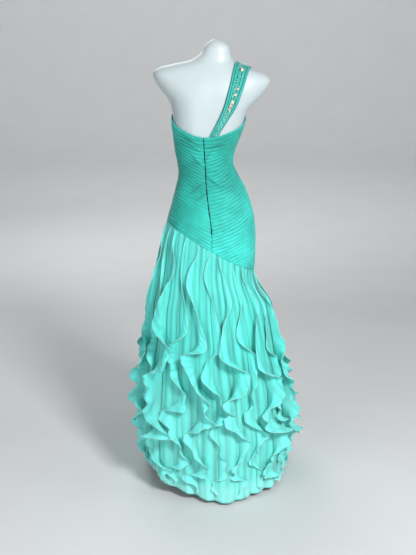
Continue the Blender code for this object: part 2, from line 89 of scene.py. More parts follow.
FORM_SECTIONS = [
    Section(0.620, -0.014, 0.142, 0.094, 0.080),
    Section(0.700, -0.014, 0.154, 0.108, 0.088),
    Section(0.800, -0.014, 0.161, 0.117, 0.096),
    Section(0.890, -0.013, 0.162, 0.117, 0.101),
    Section(0.960, -0.008, 0.153, 0.108, 0.102),
    Section(1.020, -0.006, 0.138, 0.095, 0.099),
    Section(1.080, -0.009, 0.119, 0.083, 0.093),
    Section(1.130, -0.017, 0.100, 0.077, 0.087),
    Section(1.165, -0.026, 0.093, 0.076, 0.085),
    Section(1.205, -0.029, 0.098, 0.080, 0.087),
    Section(1.250, -0.024, 0.109, 0.088, 0.092),
    Section(1.300, -0.018, 0.121, 0.094, 0.097),
    Section(1.350, -0.013, 0.131, 0.098, 0.100),
    Section(1.385, -0.006, 0.149, 0.099, 0.096),
    Section(1.420, -0.005, 0.178, 0.096, 0.086),
    Section(1.450, -0.005, 0.198, 0.088, 0.071),
    Section(1.472, -0.006, 0.203, 0.079, 0.059),
    Section(1.492, -0.007, 0.184, 0.069, 0.050),
    Section(1.508, -0.006, 0.134, 0.060, 0.045),
    Section(1.522, 0.000, 0.084, 0.053, 0.045),
    Section(1.538, 0.005, 0.061, 0.048, 0.047),
    Section(1.555, 0.011, 0.049, 0.045, 0.049),
    Section(1.570, 0.013, 0.045, 0.042, 0.049),
    Section(1.584, 0.014, 0.036, 0.034, 0.041),
    Section(1.594, 0.014, 0.022, 0.021, 0.027),
    Section(1.599, 0.014, 0.010, 0.010, 0.013),
]

SKIRT_SECTIONS = [
    Section(0.010, 0.013, 0.260, 0.336, 0.250),
    Section(0.060, 0.013, 0.262, 0.318, 0.248),
    Section(0.150, 0.013, 0.264, 0.290, 0.242),
    Section(0.250, 0.011, 0.260, 0.264, 0.230),
    Section(0.350, 0.007, 0.250, 0.238, 0.215),
    Section(0.450, 0.001, 0.236, 0.216, 0.198),
    Section(0.560, -0.002, 0.220, 0.194, 0.178),
    Section(0.650, -0.009, 0.208, 0.170, 0.154),
    Section(0.720, -0.012, 0.191, 0.150, 0.133),
    Section(0.800, -0.018, 0.172, 0.130, 0.112),
    Section(0.890, -0.013, 0.168, 0.124, 0.107),
    Section(0.980, -0.008, 0.157, 0.112, 0.106),
]

NeckPoint = namedtuple("NeckPoint", "angle z")
NECKLINE = [
    NeckPoint(0, 1.2685),
    NeckPoint(20, 1.2735),
    NeckPoint(40, 1.288),
    NeckPoint(60, 1.303),
    NeckPoint(90, 1.329),
    NeckPoint(120, 1.342),
    NeckPoint(145, 1.355),
    NeckPoint(165, 1.346),
    NeckPoint(180, 1.336),
]

ZipPoint = namedtuple("ZipPoint", "z x")
ZIP_LINE = [
    ZipPoint(0.700, -0.004),
    ZipPoint(0.860, -0.007),
    ZipPoint(0.915, -0.005),
    ZipPoint(0.965, -0.008),
    ZipPoint(1.037, -0.018),
    ZipPoint(1.108, -0.025),
    ZipPoint(1.175, -0.029),
    ZipPoint(1.265, -0.036),
]

# Strap over the right shoulder: a turn about the shoulder, 0 pointing at the back, 90 up
StrapPoint = namedtuple("StrapPoint", "turn x half_width")
STRAP = [
    StrapPoint(-40.8, 0.0025, 0.0142),
    StrapPoint(-30, 0.0141, 0.0148),
    StrapPoint(-20, 0.0242, 0.0157),
    StrapPoint(0, 0.0414, 0.0180),
    StrapPoint(20, 0.0566, 0.0203),
    StrapPoint(40, 0.0702, 0.0222),
    StrapPoint(62, 0.0870, 0.0242),
    StrapPoint(90, 0.1040, 0.0255),
    StrapPoint(125, 0.103, 0.0245),
    StrapPoint(150, 0.094, 0.0225),
    StrapPoint(176, 0.082, 0.0220),
]
STRAP_PIVOT = Vector((0.0, -0.005, 1.345))
STRAP_OUT = 0.0036

Stone = namedtuple("Stone", "turn across length width")
STONES = [
    Stone(71, 0.20, 0.0155, 0.0115),
    Stone(47, 0.30, 0.0100, 0.0085),
    Stone(39, 0.30, 0.0110, 0.0085),
    Stone(27, 0.22, 0.0160, 0.0130),
    Stone(20, 0.10, 0.0110, 0.0105),
    Stone(14, 0.08, 0.0090, 0.0085),
]
STONE_HEIGHT = 0.0050

# Tension folds on the back: from one point to another, then width and height in metres
Crease = namedtuple("Crease", "x0 z0 x1 z1 width height")
CREASES = [
    Crease(-0.100, 1.280, -0.043, 1.243, 0.0060, 0.0034),
    Crease(-0.086, 1.252, -0.042, 1.224, 0.0055, 0.0022),
    Crease(-0.072, 1.212, -0.037, 1.171, 0.0055, 0.0032),
    Crease(-0.031, 1.192, -0.010, 1.228, 0.0060, 0.0024),
    Crease(-0.030, 1.236, 0.026, 1.250, 0.0060, 0.0022),
    Crease(-0.021, 1.138, 0.020, 1.106, 0.0070, 0.0024),
    Crease(-0.085, 1.074, -0.036, 1.117, 0.0070, 0.0030),
    Crease(-0.064, 1.052, -0.027, 1.078, 0.0065, 0.0022),
]

# Flounces: side is the way the top lies, 1 towards +X; shift moves its waves, in half waves
Flounce = namedtuple("Flounce", "side shift fullness")
FLOUNCES = [Flounce(*row) for row in (
    (1, 0.30, 1.00), (-1, 0.10, 1.00), (-1, 0.42, 0.95), (-1, 0.00, 1.00),
    (-1, 0.25, 0.95), (1, 0.30, 1.00), (-1, 0.45, 1.00), (1, 0.15, 0.95),
    (-1, 0.35, 1.00), (-1, 0.05, 1.00), (1, 0.40, 0.95), (-1, 0.20, 1.00),
    (1, 0.00, 1.00), (1, 0.35, 1.00), (-1, 0.15, 0.95), (1, 0.45, 1.00),
    (1, 0.10, 1.00), (-1, 0.30, 0.95), (1, 0.20, 1.00), (-1, 0.05, 1.00),
    (1, 0.40, 0.95), (-1, 0.10, 1.00), (1, 0.48, 0.95), (1, 0.15, 1.00),
)]
FLOUNCE_STEP = 360 / FLOUNCE_COUNT
HALF_WAVES = 7
SWING = math.radians(76)
LIFT = 0.40
UPPER_REACH = 0.80
LOWER_REACH = 0.70
UPPER_RISE = 0.42
FLOUNCE_ROOT_LEVEL = 0.0034
SKIRT_LENGTH = 0.86

# The skirt starts this far under the hip seam, and panels are cut this far under it at first
SKIRT_START = 0.0014
PANEL_SPARE = 0.006

LEFT_PLEATS = 31
RIGHT_PLEATS = 49
FRONT_PLEATS = 36


# Curves and smooth steps


class Track:
    """A smooth curve through a table's rows, read at one value or many of its first column."""

    def __init__(self, table):
        rows = np.array(table, dtype=float)
        self.keys, self.values = rows[:, 0], rows[:, 1:]
        order = np.arange(len(rows))
        ahead, behind = np.minimum(order + 1, order[-1]), np.maximum(order - 1, 0)
        spans = (self.keys[ahead] - self.keys[behind])[:, None]
        self.slopes = (self.values[ahead] - self.values[behind]) / spans

    def __call__(self, at):
        at = np.clip(np.asarray(at, dtype=float), self.keys[0], self.keys[-1])
        i = np.clip(np.searchsorted(self.keys, at, side="right") - 1, 0, len(self.keys) - 2)
        span = (self.keys[i + 1] - self.keys[i])[..., None]
        x = (at - self.keys[i])[..., None] / span
        value = (
            (2 * x**3 - 3 * x**2 + 1) * self.values[i]
            + (x**3 - 2 * x**2 + x) * self.slopes[i] * span
            + (3 * x**2 - 2 * x**3) * self.values[i + 1]
            + (x**3 - x**2) * self.slopes[i + 1] * span
        )
        return np.moveaxis(value, -1, 0)


FORM_TRACK = Track(FORM_SECTIONS)
SKIRT_TRACK = Track(SKIRT_SECTIONS)
NECK_TRACK = Track(NECKLINE)
ZIP_TRACK = Track(ZIP_LINE)
STRAP_TRACK = Track(STRAP)


def smooth(x):
    """0 below 0, 1 above 1, and an even S between."""
    x = np.clip(x, 0, 1)
    return x * x * (3 - 2 * x)


def mix(a, b, share):
    return a + (b - a) * share


def bell(value, middle, width):
    return np.exp(-(((value - middle) / width) ** 2))


def wrapped(angle):
    return (np.asarray(angle, dtype=float) + 180) % 360 - 180


def unit(vectors):
    return vectors / np.maximum(np.linalg.norm(vectors, axis=-1, keepdims=True), 1e-12)


# Form, body and skirt surfaces


def section_point(section, angle, z):
    """Points of a closed section at angles round the body."""
    centre_x, half_width, back, front = section
    turn = np.radians(angle)
    side, ahead = np.sin(turn), -np.cos(turn)
    swell = (abs(side) ** SECTION_POWER + abs(ahead) ** SECTION_POWER) ** (-1 / SECTION_POWER)
    depth = np.where(ahead > 0, front, back)
    return np.stack([centre_x + half_width * swell * side, depth * swell * ahead, z + 0 * side], -1)


def form_shape(angle, z):
    """The form's surface: the sections, a soft bust and the hollow along the spine."""
    angle, z = np.broadcast_arrays(np.asarray(angle, dtype=float), np.asarray(z, dtype=float))
    point = section_point(FORM_TRACK(z), angle, z)
    angle = wrapped(angle)
    bust = 0.026 * bell(abs(angle), 146, 24) * bell(z, 1.298, 0.052)
    spine = 0.006 * bell(angle, 0, 13) * bell(z, 1.32, 0.13)
    outward = unit(point * [1, 1, 0])
    point = point + outward * (bust - spine)[..., None]
    point[..., 2] -= 0.05 * point[..., 0] * smooth((z - 1.22) / 0.24)
    return point


def normal_of(surface, angle, z):
    across = surface(angle + 1, z) - surface(angle - 1, z)
    up = surface(angle, z + 0.004) - surface(angle, z - 0.004)
    return unit(np.cross(across, up))


def body_point(angle, z, out):
    """Points this far out from the form, straight out and level."""
    angle, z = np.broadcast_arrays(np.asarray(angle, dtype=float), np.asarray(z, dtype=float))
    z = np.maximum(z, FORM_SECTIONS[0].z)
    level = unit(normal_of(form_shape, angle, z) * [1, 1, 0])
    return form_shape(angle, z) + level * np.asarray(out)[..., None]


def seam_height(surface, angle, drop=0.0):
    """The height where a surface meets the slanted hip seam at these angles."""
    z = np.full(np.shape(angle), SEAM_HEIGHT)
    for _ in range(12):
        z = SEAM_HEIGHT - drop - SEAM_SLOPE * surface(angle, z)[..., 0]
    return z


def hem_height(angle):
    angle = wrapped(angle)
    return HEM_HEIGHT + RAISED_HEM * bell(angle, -48, 26) - TRAIN_DROP * bell(angle, 8, 34)


def skirt_shape(angle, down):
    """The underskirt's outer face: down is 0 at the slanted seam and 1 at the hem."""
    angle, down = np.broadcast_arrays(np.asarray(angle, dtype=float), down)
    out = FORM_GAP + SKIRT_WALL
    top = seam_height(lambda a, z: body_point(a, z, out), angle, SKIRT_START)
    z = mix(top, hem_height(angle), down)
    drift = 2.5 * np.sin(np.radians(2 * angle + 40)) * smooth(down / 0.8)
    on_body = body_point(angle + drift, z, out)
    full = section_point(SKIRT_TRACK(z), angle + drift, z)
    point = mix(on_body, full, smooth(down / 0.17)[..., None])
    valley = np.cos(np.radians(GORES * (angle - FIRST_SEAM)))
    folds = -0.009 * smooth((down - 0.2) / 0.8) * valley
    point = point + unit(point * [1, 1, 0]) * folds[..., None]
    point[..., 2] = z
    return point


def rounded_folds(phase):
    """Soft tubes of cloth with narrow valleys between them, from 0 to 1."""
    return abs(np.cos(phase)) ** 0.75


def soft_folds(angle, down):
    """The skirt's upright folds: how far they stand out, and their crests from 0 to 1."""
    turn = np.radians(angle)
    sway = 0.6 * np.sin(3 * turn + 5 * down) + 0.3 * np.sin(7 * turn - 4 * down)
    crest = 0.6 * rounded_folds(24 * turn + sway)
    crest = crest + 0.4 * rounded_folds(15 * turn - 1.4 * sway + 2 * down)
    size = 0.0010 + 0.0060 * smooth((down - 0.03) / 0.6)
    hem = 0.006 * smooth((down - 0.75) / 0.25) * np.sin(24 * turn + 1.8 * sway)
    return size * (crest - 0.6) + hem, crest


class SkirtGrid:
    """The underskirt as a fine grid, which the flounces are laid on."""

    COLUMNS = 400
    ROWS = 121

    def __init__(self):
        down = np.linspace(0, 1, self.ROWS)[:, None]
        angle = np.arange(self.COLUMNS)[None, :] * 360 / self.COLUMNS
        points = skirt_shape(angle, down)
        folds, crest = soft_folds(angle, down)
        # Painted shade and painted light: dark in the folds' valleys, light on their crests
        self.tone = 0.10 + 0.62 * crest
        self.points = points + unit(points * [1, 1, 0]) * folds[..., None]

    def at(self, angle, down):
        """Points on the skirt and their level outward normals."""
        column = (np.asarray(angle) % 360) / 360 * self.COLUMNS
        row = np.clip(down, 0, 1.02) * (self.ROWS - 1)
        c = np.floor(column).astype(int) % self.COLUMNS
        r = np.clip(np.floor(row).astype(int), 0, self.ROWS - 2)
        share, along = (column - np.floor(column))[..., None], (row - r)[..., None]
        after = (c + 1) % self.COLUMNS
        left = mix(self.points[r, c], self.points[r + 1, c], along)
        right = mix(self.points[r, after], self.points[r + 1, after], along)
        step = self.COLUMNS // 40
        beyond, before = (c + step) % self.COLUMNS, (c - step) % self.COLUMNS
        across = self.points[r, beyond] - self.points[r, before]
        out = unit(np.stack([across[..., 1], -across[..., 0], 0 * across[..., 0]], -1))
        return mix(left, right, share), out


# Meshes


def new_object(name, mesh, finish=None):
    if finish:
        mesh.materials.clear()
        mesh.materials.append(finish)
    obj = bpy.data.objects.new(name, mesh)
    bpy.context.scene.collection.objects.link(obj)
    return obj


@contextmanager
def edited(mesh):
    """A mesh opened for bmesh operators, and written back after them."""
    bm = bmesh.new()
    bm.from_mesh(mesh)
    yield bm
    bm.to_mesh(mesh)
    bm.free()


def grid_mesh(name, points, uv=None, closed=False, **shades):
    """A mesh of a grid of points, with its own UV map in metres or counts.

    Each further value is an attribute of the points, for painted shade: tone is 0 in a
    fold's valley and 1 on its crest, and on the bodice how strongly a pleat's crease is shaded;
    shade is 1 in the shadow under a tension fold.
    """
    rows, columns = points.shape[:2]
    if uv is None:
        uv = np.zeros((rows, columns, 2))
    last = columns if closed else columns - 1
    r, c = np.meshgrid(np.arange(rows - 1), np.arange(last), indexing="ij")
    after = (c + 1) % columns
    upper, lower = r * columns, (r + 1) * columns
    quads = np.stack([upper + c, lower + c, lower + after, upper + after], -1).reshape(-1, 4)
    mesh = bpy.data.meshes.new(name)
    mesh.from_pydata(points.reshape(-1, 3).tolist(), [], quads.tolist())
    layer = mesh.uv_layers.new(name="UVMap")
    layer.data.foreach_set("uv", uv.reshape(-1, 2)[quads.reshape(-1)].astype(np.float32).ravel())
    for key, value in shades.items():
        attribute = mesh.attributes.new(key, "FLOAT", "POINT")
        attribute.data.foreach_set("value", value.astype(np.float32).ravel())
    mesh.shade_smooth()
    return mesh


def lathe_mesh(name, outline, sides):
    """A mesh of an outline of radius and height, turned about the Z axis."""
    turn = np.arange(sides)[None, :] * 2 * math.pi / sides
    outline = np.array(outline)
    radius, height = outline[:, :1], outline[:, 1:]
    ring = (radius * np.cos(turn), radius * np.sin(turn), height)
    return grid_mesh(name, np.stack(np.broadcast_arrays(*ring), -1), closed=True)


def applied(obj):
    """The object's mesh with its modifiers applied, as a plain mesh."""
    bpy.context.view_layer.update()
    mesh = bpy.data.meshes.new_from_object(obj.evaluated_get(bpy.context.evaluated_depsgraph_get()))
    obj.modifiers.clear()
    obj.data = mesh
    return obj


def walled(obj, thickness, offset=-1):
    """Thickness by Solidify: offset -1 puts it inside the surface, and 0 on both sides."""
    shell = obj.modifiers.new("Wall", "SOLIDIFY")
    shell.thickness = thickness
    shell.offset = offset
    return applied(obj)


def path_object(name, lines, closed=False):
    """A mesh of bare edges along one or more lines of points, for a node tree to follow."""
    points, edges = [], []
    for line in lines:
        first = len(points)
        points += [tuple(p) for p in line]
        edges += [(first + i, first + i + 1) for i in range(len(line) - 1)]
        if closed:
            edges.append((first + len(line) - 1, first))
    mesh = bpy.data.meshes.new(name)
    mesh.from_pydata(points, edges, [])
    return new_object(name, mesh)


# Node trees


def give(tree, socket, value):
    """Links a socket to a value that is a socket too, and else sets it."""
    if hasattr(value, "is_output"):
        tree.links.new(value, socket)
    else:
        socket.default_value = value


def add(tree, kind, *sources, **settings):
    """A node of this kind, with values or links for its first sockets in turn.

    Settings name its attributes or, where it has none of that name, its sockets.
    """
    node = tree.nodes.new(kind)
    for key, value in settings.items():
        if hasattr(node, key):
            setattr(node, key, value)
        else:
            give(tree, node.inputs[key.replace("_", " ")], value)
    for socket, value in zip(node.inputs, sources):
        give(tree, socket, value)
    return node


def out_of(tree, kind, *sources, **settings):
    """The first output of a new node."""
    return add(tree, kind, *sources, **settings).outputs[0]


# Materials


def node_material(name, colour, roughness, **settings):
    """A material with its Principled shader, whose further sockets are set by their names."""
    made = bpy.data.materials.new(name)
    made.use_nodes = True
    tree = made.node_tree
    shader = tree.nodes["Principled BSDF"]
    shader.inputs["Base Color"].default_value = (*colour, 1)
    shader.inputs["Roughness"].default_value = roughness
    for key, value in settings.items():
        give(tree, shader.inputs[key.replace("_", " ")], value)
    return made, tree, shader


def scaled(colour, share):
    return tuple(share * c for c in colour)


def object_coordinates(tree, scale=(1, 1, 1)):
    source = add(tree, "ShaderNodeTexCoord").outputs["Object"]
    return out_of(tree, "ShaderNodeMapping", Vector=source, Scale=scale)


def maths(tree, operation, *values):
    return out_of(tree, "ShaderNodeMath", *values, operation=operation)


def axis_of(tree, vector, axis):
    return add(tree, "ShaderNodeSeparateXYZ", vector).outputs[axis]


def attribute_of(tree, name):
    return add(tree, "ShaderNodeAttribute", attribute_name=name).outputs["Fac"]


def noise(tree, vector, scale, detail=3.0):
    return out_of(
        tree, "ShaderNodeTexNoise", Vector=vector, Scale=scale, Detail=detail, Roughness=0.5
    )


def ramp(tree, value, stops):
    """A colour ramp of (position, colour) stops."""
    node = add(tree, "ShaderNodeValToRGB", value)
    elements = node.color_ramp.elements
    while len(elements) > 1:
        elements.remove(elements[-1])
    elements[0].position, elements[0].color = stops[0][0], (*stops[0][1], 1)
    for position, colour in stops[1:]:
        elements.new(position).color = (*colour, 1)
    return node.outputs["Color"]


def blend_colour(tree, factor, a, b, mode="MIX"):
    node = add(tree, "ShaderNodeMix", data_type="RGBA", blend_type=mode)
    for index, value in ((0, factor), (6, a), (7, b)):
        give(tree, node.inputs[index], value)
    return node.outputs[2]


def bump(tree, shader, height, strength, distance):
    """Small relief in a shader's normal."""
    normal = out_of(tree, "ShaderNodeBump", Strength=strength, Distance=distance, Height=height)
    tree.links.new(normal, shader.inputs["Normal"])
    return normal


def weave_height(tree, vector, threads):
    """Crossing threads: two bands of fine waves."""
    bands = [
        add(
            tree, "ShaderNodeTexWave", bands_direction=direction,
            Vector=vector, Scale=threads, Distortion=0.6,
        ).outputs["Fac"]
        for direction in ("X", "Y")
    ]
    return maths(tree, "MULTIPLY", *bands)


def rising(tree, value, low, high, most=1.0):
    """0 where the value is at low, rising smoothly to most where it is at high."""
    return out_of(
        tree, "ShaderNodeMapRange", interpolation_type="SMOOTHSTEP",
        Value=value, From_Min=low, From_Max=high, To_Max=most,
    )


def painted_light_below(tree, tint, pale):
    """Painted light: sheer cloth painted paler towards the floor, most within a hand's breadth of
    it.
    """
    height = axis_of(tree, object_coordinates(tree), "Z")
    painted_glow = (*[0.30 + 0.70 * c for c in pale], 1)
    tint = blend_colour(tree, rising(tree, height, 0.55, 0.20, 0.25), tint, painted_glow)
    return blend_colour(tree, rising(tree, height, 0.085, 0.045, 0.45), tint, painted_glow)


def deeper_waist(tree, tint):
    """The bodice is painted darker higher up and towards the wearer's left, paler over the hip and
    to the right.
    """
    place = object_coordinates(tree)
    slant = maths(tree, "MULTIPLY_ADD", axis_of(tree, place, "X"), -0.9, axis_of(tree, place, "Z"))
    deeper = (0.45, 0.66, 0.62, 1)
    return blend_colour(tree, rising(tree, slant, 0.86, 1.16), tint, deeper, "MULTIPLY")


Cloth = namedtuple("Cloth", "deep mid light")


def shades(colour, deep=0.62, light=1.28):
    """A cloth's deep, middle and light tones from its one colour: lit and shaded copies for painted
    shade and light in folds, and random mottling in plain cloth.
    """
    middle = min(1, (deep + light) / 2)
    return Cloth(*[tuple(min(1, share * c) for c in colour) for share in (deep, middle, light)])


def chiffon(name, colours, translucent, threads, pleated=False, fold_shaded=False):
    """Fine cloth: woven, soft sheen, light through it; painted shade and light in pleats and folds.
    """
    made, tree, shader = node_material(
        name, colours.mid, 0.62, Sheen_Weight=0.35, Sheen_Roughness=0.4, Specular_IOR_Level=0.28
    )
    uv = out_of(tree, "ShaderNodeUVMap", uv_map="UVMap")
    value = noise(tree, object_coordinates(tree), 9.0, 4.0)
    if fold_shaded:
        # Painted shade and painted light: darker in fold valleys and under the flounce above,
        # lighter on fold crests
        value = maths(tree, "MULTIPLY_ADD", value, 0.25, attribute_of(tree, "tone"))
        painted_valley_shade = (0.12, scaled(colours.deep, 0.45))
        stops = [painted_valley_shade, (0.36, colours.deep), (0.62, colours.mid), (1.0, colours.light)]
        tint = painted_light_below(tree, ramp(tree, value, stops), colours.light)
    else:
        stops = [(0.30, colours.deep), (0.52, colours.mid), (0.75, colours.light)]
        tint = ramp(tree, value, stops)
    if pleated:
        # Painted shadow along each pleat's crease, strongest where the pleats stand out most
        turn = maths(tree, "PINGPONG", axis_of(tree, uv, "Y"), 0.5)
        stops = [(0.0, (0.48, 0.50, 0.50)), (0.09, (0.74, 0.75, 0.75)), (0.26, (1, 1, 1))]
        crease = ramp(tree, turn, stops)
        tint = deeper_waist(tree, tint)
        tint = blend_colour(tree, attribute_of(tree, "tone"), tint, crease, "MULTIPLY")
        shadow = (0.42, 0.50, 0.50, 1)
        tint = blend_colour(tree, attribute_of(tree, "shade"), tint, shadow, "MULTIPLY")
    tree.links.new(tint, shader.inputs["Base Color"])
    normal = bump(tree, shader, weave_height(tree, uv, threads), 0.25, 0.0004)
    through = out_of(tree, "ShaderNodeBsdfTranslucent", Color=tint, Normal=normal)
    both = out_of(tree, "ShaderNodeMixShader", translucent, shader.outputs[0], through)
    tree.links.new(both, tree.nodes["Material Output"].inputs["Surface"])
    return made


def satin_white(name, colour):
    """The form's smooth skin: faint mottling and a soft coat."""
    made, tree, shader = node_material(name, colour, 0.42, Coat_Weight=0.15, Coat_Roughness=0.3)
    place = object_coordinates(tree)
    tint = ramp(tree, noise(tree, place, 5.0), [(0.35, scaled(colour, 0.93)), (0.65, colour)])
    rough = out_of(
        tree, "ShaderNodeMapRange", To_Min=0.36, To_Max=0.5, Value=noise(tree, place, 14.0)
    )
    tree.links.new(tint, shader.inputs["Base Color"])
    tree.links.new(rough, shader.inputs["Roughness"])
    bump(tree, shader, noise(tree, place, 260.0, 2.0), 0.05, 0.0004)
    return made


def brushed_metal(name, colour, roughness, stretch=(1, 1, 40)):
    made, tree, shader = node_material(name, colour, roughness, Metallic=1.0)
    grain = noise(tree, object_coordinates(tree, stretch), 60.0, 4.0)
    rough = out_of(
        tree, "ShaderNodeMapRange", To_Min=roughness - 0.08, To_Max=roughness + 0.1, Value=grain
    )
    tree.links.new(rough, shader.inputs["Roughness"])
    bump(tree, shader, grain, 0.08, 0.0003)
    return made


def varnished(name, colour, roughness):
    """Lacquered board: fine streaks under a clear coat."""
    made, tree, shader = node_material(
        name, colour, roughness, Coat_Weight=0.5, Coat_Roughness=0.12
    )
    streaks = noise(tree, object_coordinates(tree, (1, 6, 1)), 30.0, 5.0)
    tint = ramp(tree, streaks, [(0.35, scaled(colour, 0.6)), (0.65, colour)])
    tree.links.new(tint, shader.inputs["Base Color"])
    bump(tree, shader, streaks, 0.06, 0.0003)
    return made


def cut_glass(name, colour):
    made, tree, shader = node_material(
        name, colour, 0.05, IOR=1.75, Coat_Weight=0.8, Coat_Roughness=0.03, Specular_IOR_Level=0.9
    )
    cloudy = noise(tree, object_coordinates(tree), 90.0)
    tint = ramp(tree, cloudy, [(0.35, scaled(colour, 0.55)), (0.6, colour)])
    tree.links.new(tint, shader.inputs["Base Color"])
    return made


def zip_cloth(name, colour):
    made, tree, shader = node_material(name, colour, 0.75)
    bump(tree, shader, weave_height(tree, object_coordinates(tree), 220.0), 0.5, 0.0004)
    return made


# Node trees for what repeats


def node_tree(name, sizes):
    """A geometry node group with a geometry socket and one named input for each size."""
    tree = bpy.data.node_groups.new(name, "GeometryNodeTree")
    for way in ("INPUT", "OUTPUT"):
        tree.interface.new_socket(name="Geometry", in_out=way, socket_type="NodeSocketGeometry")
    for size in sizes:
        kind = "NodeSocketInt" if size == "Sides" else "NodeSocketFloat"
        tree.interface.new_socket(name=size, in_out="INPUT", socket_type=kind)
    return tree, tree.nodes.new("NodeGroupInput").outputs


def end_tree(tree, geometry, finish):
    """Smooth shading, Realize Instances, Set Material, and the group's output."""
    soft = out_of(tree, "GeometryNodeSetShadeSmooth", geometry)
    real = out_of(tree, "GeometryNodeRealizeInstances", soft)
    painted = out_of(tree, "GeometryNodeSetMaterial", Geometry=real, Material=finish)
    add(tree, "NodeGroupOutput", painted)
    return tree


def roll_tree(finish):
    """A round rolled edge along each line of the mesh."""
    tree, given = node_tree("Rolled edge", ("Radius", "Sides"))
    curve = out_of(tree, "GeometryNodeMeshToCurve", given["Geometry"])
    circle = out_of(
        tree, "GeometryNodeCurvePrimitiveCircle", Radius=given["Radius"], Resolution=given["Sides"]
    )
    swept = out_of(
        tree, "GeometryNodeCurveToMesh", Curve=curve, Profile_Curve=circle, Fill_Caps=True
    )
    return end_tree(tree, swept, finish)


def coil_tree(finish):
    """Small links set across a line at an even spacing, as on a coil zip."""
    tree, given = node_tree("Zip coil", ("Spacing", "Link"))
    curve = out_of(tree, "GeometryNodeMeshToCurve", given["Geometry"])
    even = out_of(
        tree, "GeometryNodeResampleCurve", mode="LENGTH", Curve=curve, Length=given["Spacing"]
    )
    link = out_of(tree, "GeometryNodeMeshUVSphere", Segments=8, Rings=5, Radius=given["Link"])
    flat = out_of(tree, "GeometryNodeTransform", Geometry=link, Scale=(1.5, 0.9, 0.42))
    tangent = out_of(tree, "GeometryNodeInputTangent")
    turn = out_of(tree, "FunctionNodeAlignRotationToVector", axis="Z", Vector=tangent)
    placed = out_of(
        tree, "GeometryNodeInstanceOnPoints", Points=even, Instance=flat, Rotation=turn
    )
    return end_tree(tree, placed, finish)


def bead_tree(finish):
    """A round bead on each point, scaled by the point's own size."""
    tree, given = node_tree("Beads", ("Radius",))
    bead = out_of(tree, "GeometryNodeMeshIcoSphere", Radius=given["Radius"], Subdivisions=2)
    size = out_of(tree, "GeometryNodeInputNamedAttribute", data_type="FLOAT", Name="size")
    points = out_of(tree, "GeometryNodeMeshToPoints", given["Geometry"])
    placed = out_of(
        tree, "GeometryNodeInstanceOnPoints", Points=points, Instance=bead, Scale=size
    )
    return end_tree(tree, placed, finish)


def grown(obj, tree, **sizes):
    """Runs a node tree on an object and keeps its result as a plain mesh."""
    modifier = obj.modifiers.new(tree.name, "NODES")
    modifier.node_group = tree
    for item in tree.interface.items_tree:
        if item.in_out == "INPUT" and item.name in sizes:
            modifier[item.identifier] = sizes[item.name]
    return applied(obj)


# Placing of the pieces' points


def zip_angle(z, shift=0.0):
    """The angle of the zip's middle line, or of a line this far beside it."""
    centre_x, half_width, _, _ = FORM_TRACK(z)
    return np.degrees(np.arcsin((ZIP_TRACK(z)[0] + shift - centre_x) / half_width))


def neck_height(angle):
    return NECK_TRACK(abs(wrapped(angle)))[0]


PANEL_FROM_ZIP = 0.0016
# The side seams are at 90 degrees, 0.09 m from the body's middle
SIDE_EDGE = 90 - math.degrees(0.8 * SEAM_GAP / 0.09)


def zip_gap(z):
    """From the zip's middle line to a panel's edge: the seam is closed under the zip's end."""
    wavy = 1 + 0.28 * np.sin(95 * z) + 0.22 * np.sin(233 * z + 1)
    return mix(SEAM_GAP, PANEL_FROM_ZIP * wavy, smooth((z - ZIP_BOTTOM) / 0.012))


def left_back_place(row, share):
    """Rows run along the neckline at the top and along the hip seam at the bottom."""
    z = mix(NECKLINE[0].z, SEAM_HEIGHT, row)
    for _ in range(3):
        angle = mix(zip_angle(z, -zip_gap(z)), -SIDE_EDGE, share)
        z = mix(neck_height(angle), seam_height(form_shape, angle) - PANEL_SPARE, row)
    return angle, z


def right_back_place(row, share):
    """Rows climb to the side all the way down, and the hip seam cuts across them."""
    start = NECKLINE[0].z - row * RIGHT_PLEATS * PLEAT_PITCH
    z = start
    for _ in range(3):
        angle = mix(zip_angle(z, zip_gap(z)), SIDE_EDGE, share)
        neck_rise = neck_height(angle) - NECKLINE[0].z
        z = start + mix(neck_rise, PLEAT_CLIMB * share**1.25, smooth(row * 1.6))
    return angle, z


def front_place(row, share):
    """Rows run round the front, level at the hip and shaped to the cups at the top."""
    angle = mix(SIDE_EDGE - 180, -SIDE_EDGE - 180, share)
    side_height = NECKLINE[4].z
    level = side_height - row * FRONT_PLEATS * FRONT_PITCH
    cups = (neck_height(angle) - side_height) * (1 - smooth(row * 2.2))
    sweep = 0.020 * np.sin(np.pi * share) * smooth(row * 3) * (1 - row)
    return angle, level + cups + sweep


def pleat_profile(phase):
    """A rounded fold that rises slowly and drops sharply at its lower edge."""
    part = phase % 1
    crest = 0.62
    up = np.sin(np.pi / 2 * np.clip(part / crest, 0, 1)) ** 0.8
    down = np.cos(np.pi / 2 * np.clip((part - crest) / (1 - crest), 0, 1)) ** 0.7
    return np.where(part < crest, up, down)


def tension_folds(points):
    """The tension folds' height at points of the back, and the shade under each of them."""
    height, shade = np.zeros(points.shape[:-1]), np.zeros(points.shape[:-1])
    flat = points[..., [0, 2]]
    for crease in CREASES:
        start, end = np.array([crease.x0, crease.z0]), np.array([crease.x1, crease.z1])
        run = end - start
        along = np.clip(((flat - start) @ run) / (run @ run), 0, 1)
        offset = flat - start - along[..., None] * run
        away = np.linalg.norm(offset, axis=-1)
        taper = np.sin(np.pi * np.clip(0.08 + 0.84 * along, 0, 1)) ** 0.7
        height += crease.height * taper * bell(away, 0, crease.width)
        below = offset @ np.array([run[1], -run[0]]) / np.linalg.norm(run)
        under = bell(below, 0.8 * crease.width, 0.5 * crease.width)
        shade += taper * under * bell(away, 0, 1.6 * crease.width)
    behind = points[..., 1] < 0
    return height * behind, np.clip(shade, 0, 1) * behind


def flat_patch(angle, z):
    """Where the pleats are pulled nearly flat, low on the left of the back."""
    low_left = bell(wrapped(angle), -24, 22) * bell(z, 0.985, 0.060)
    beside_zip = bell(wrapped(angle), -4, 12) * bell(z, 1.13, 0.09)
    return 0.85 * low_left + 0.35 * beside_zip


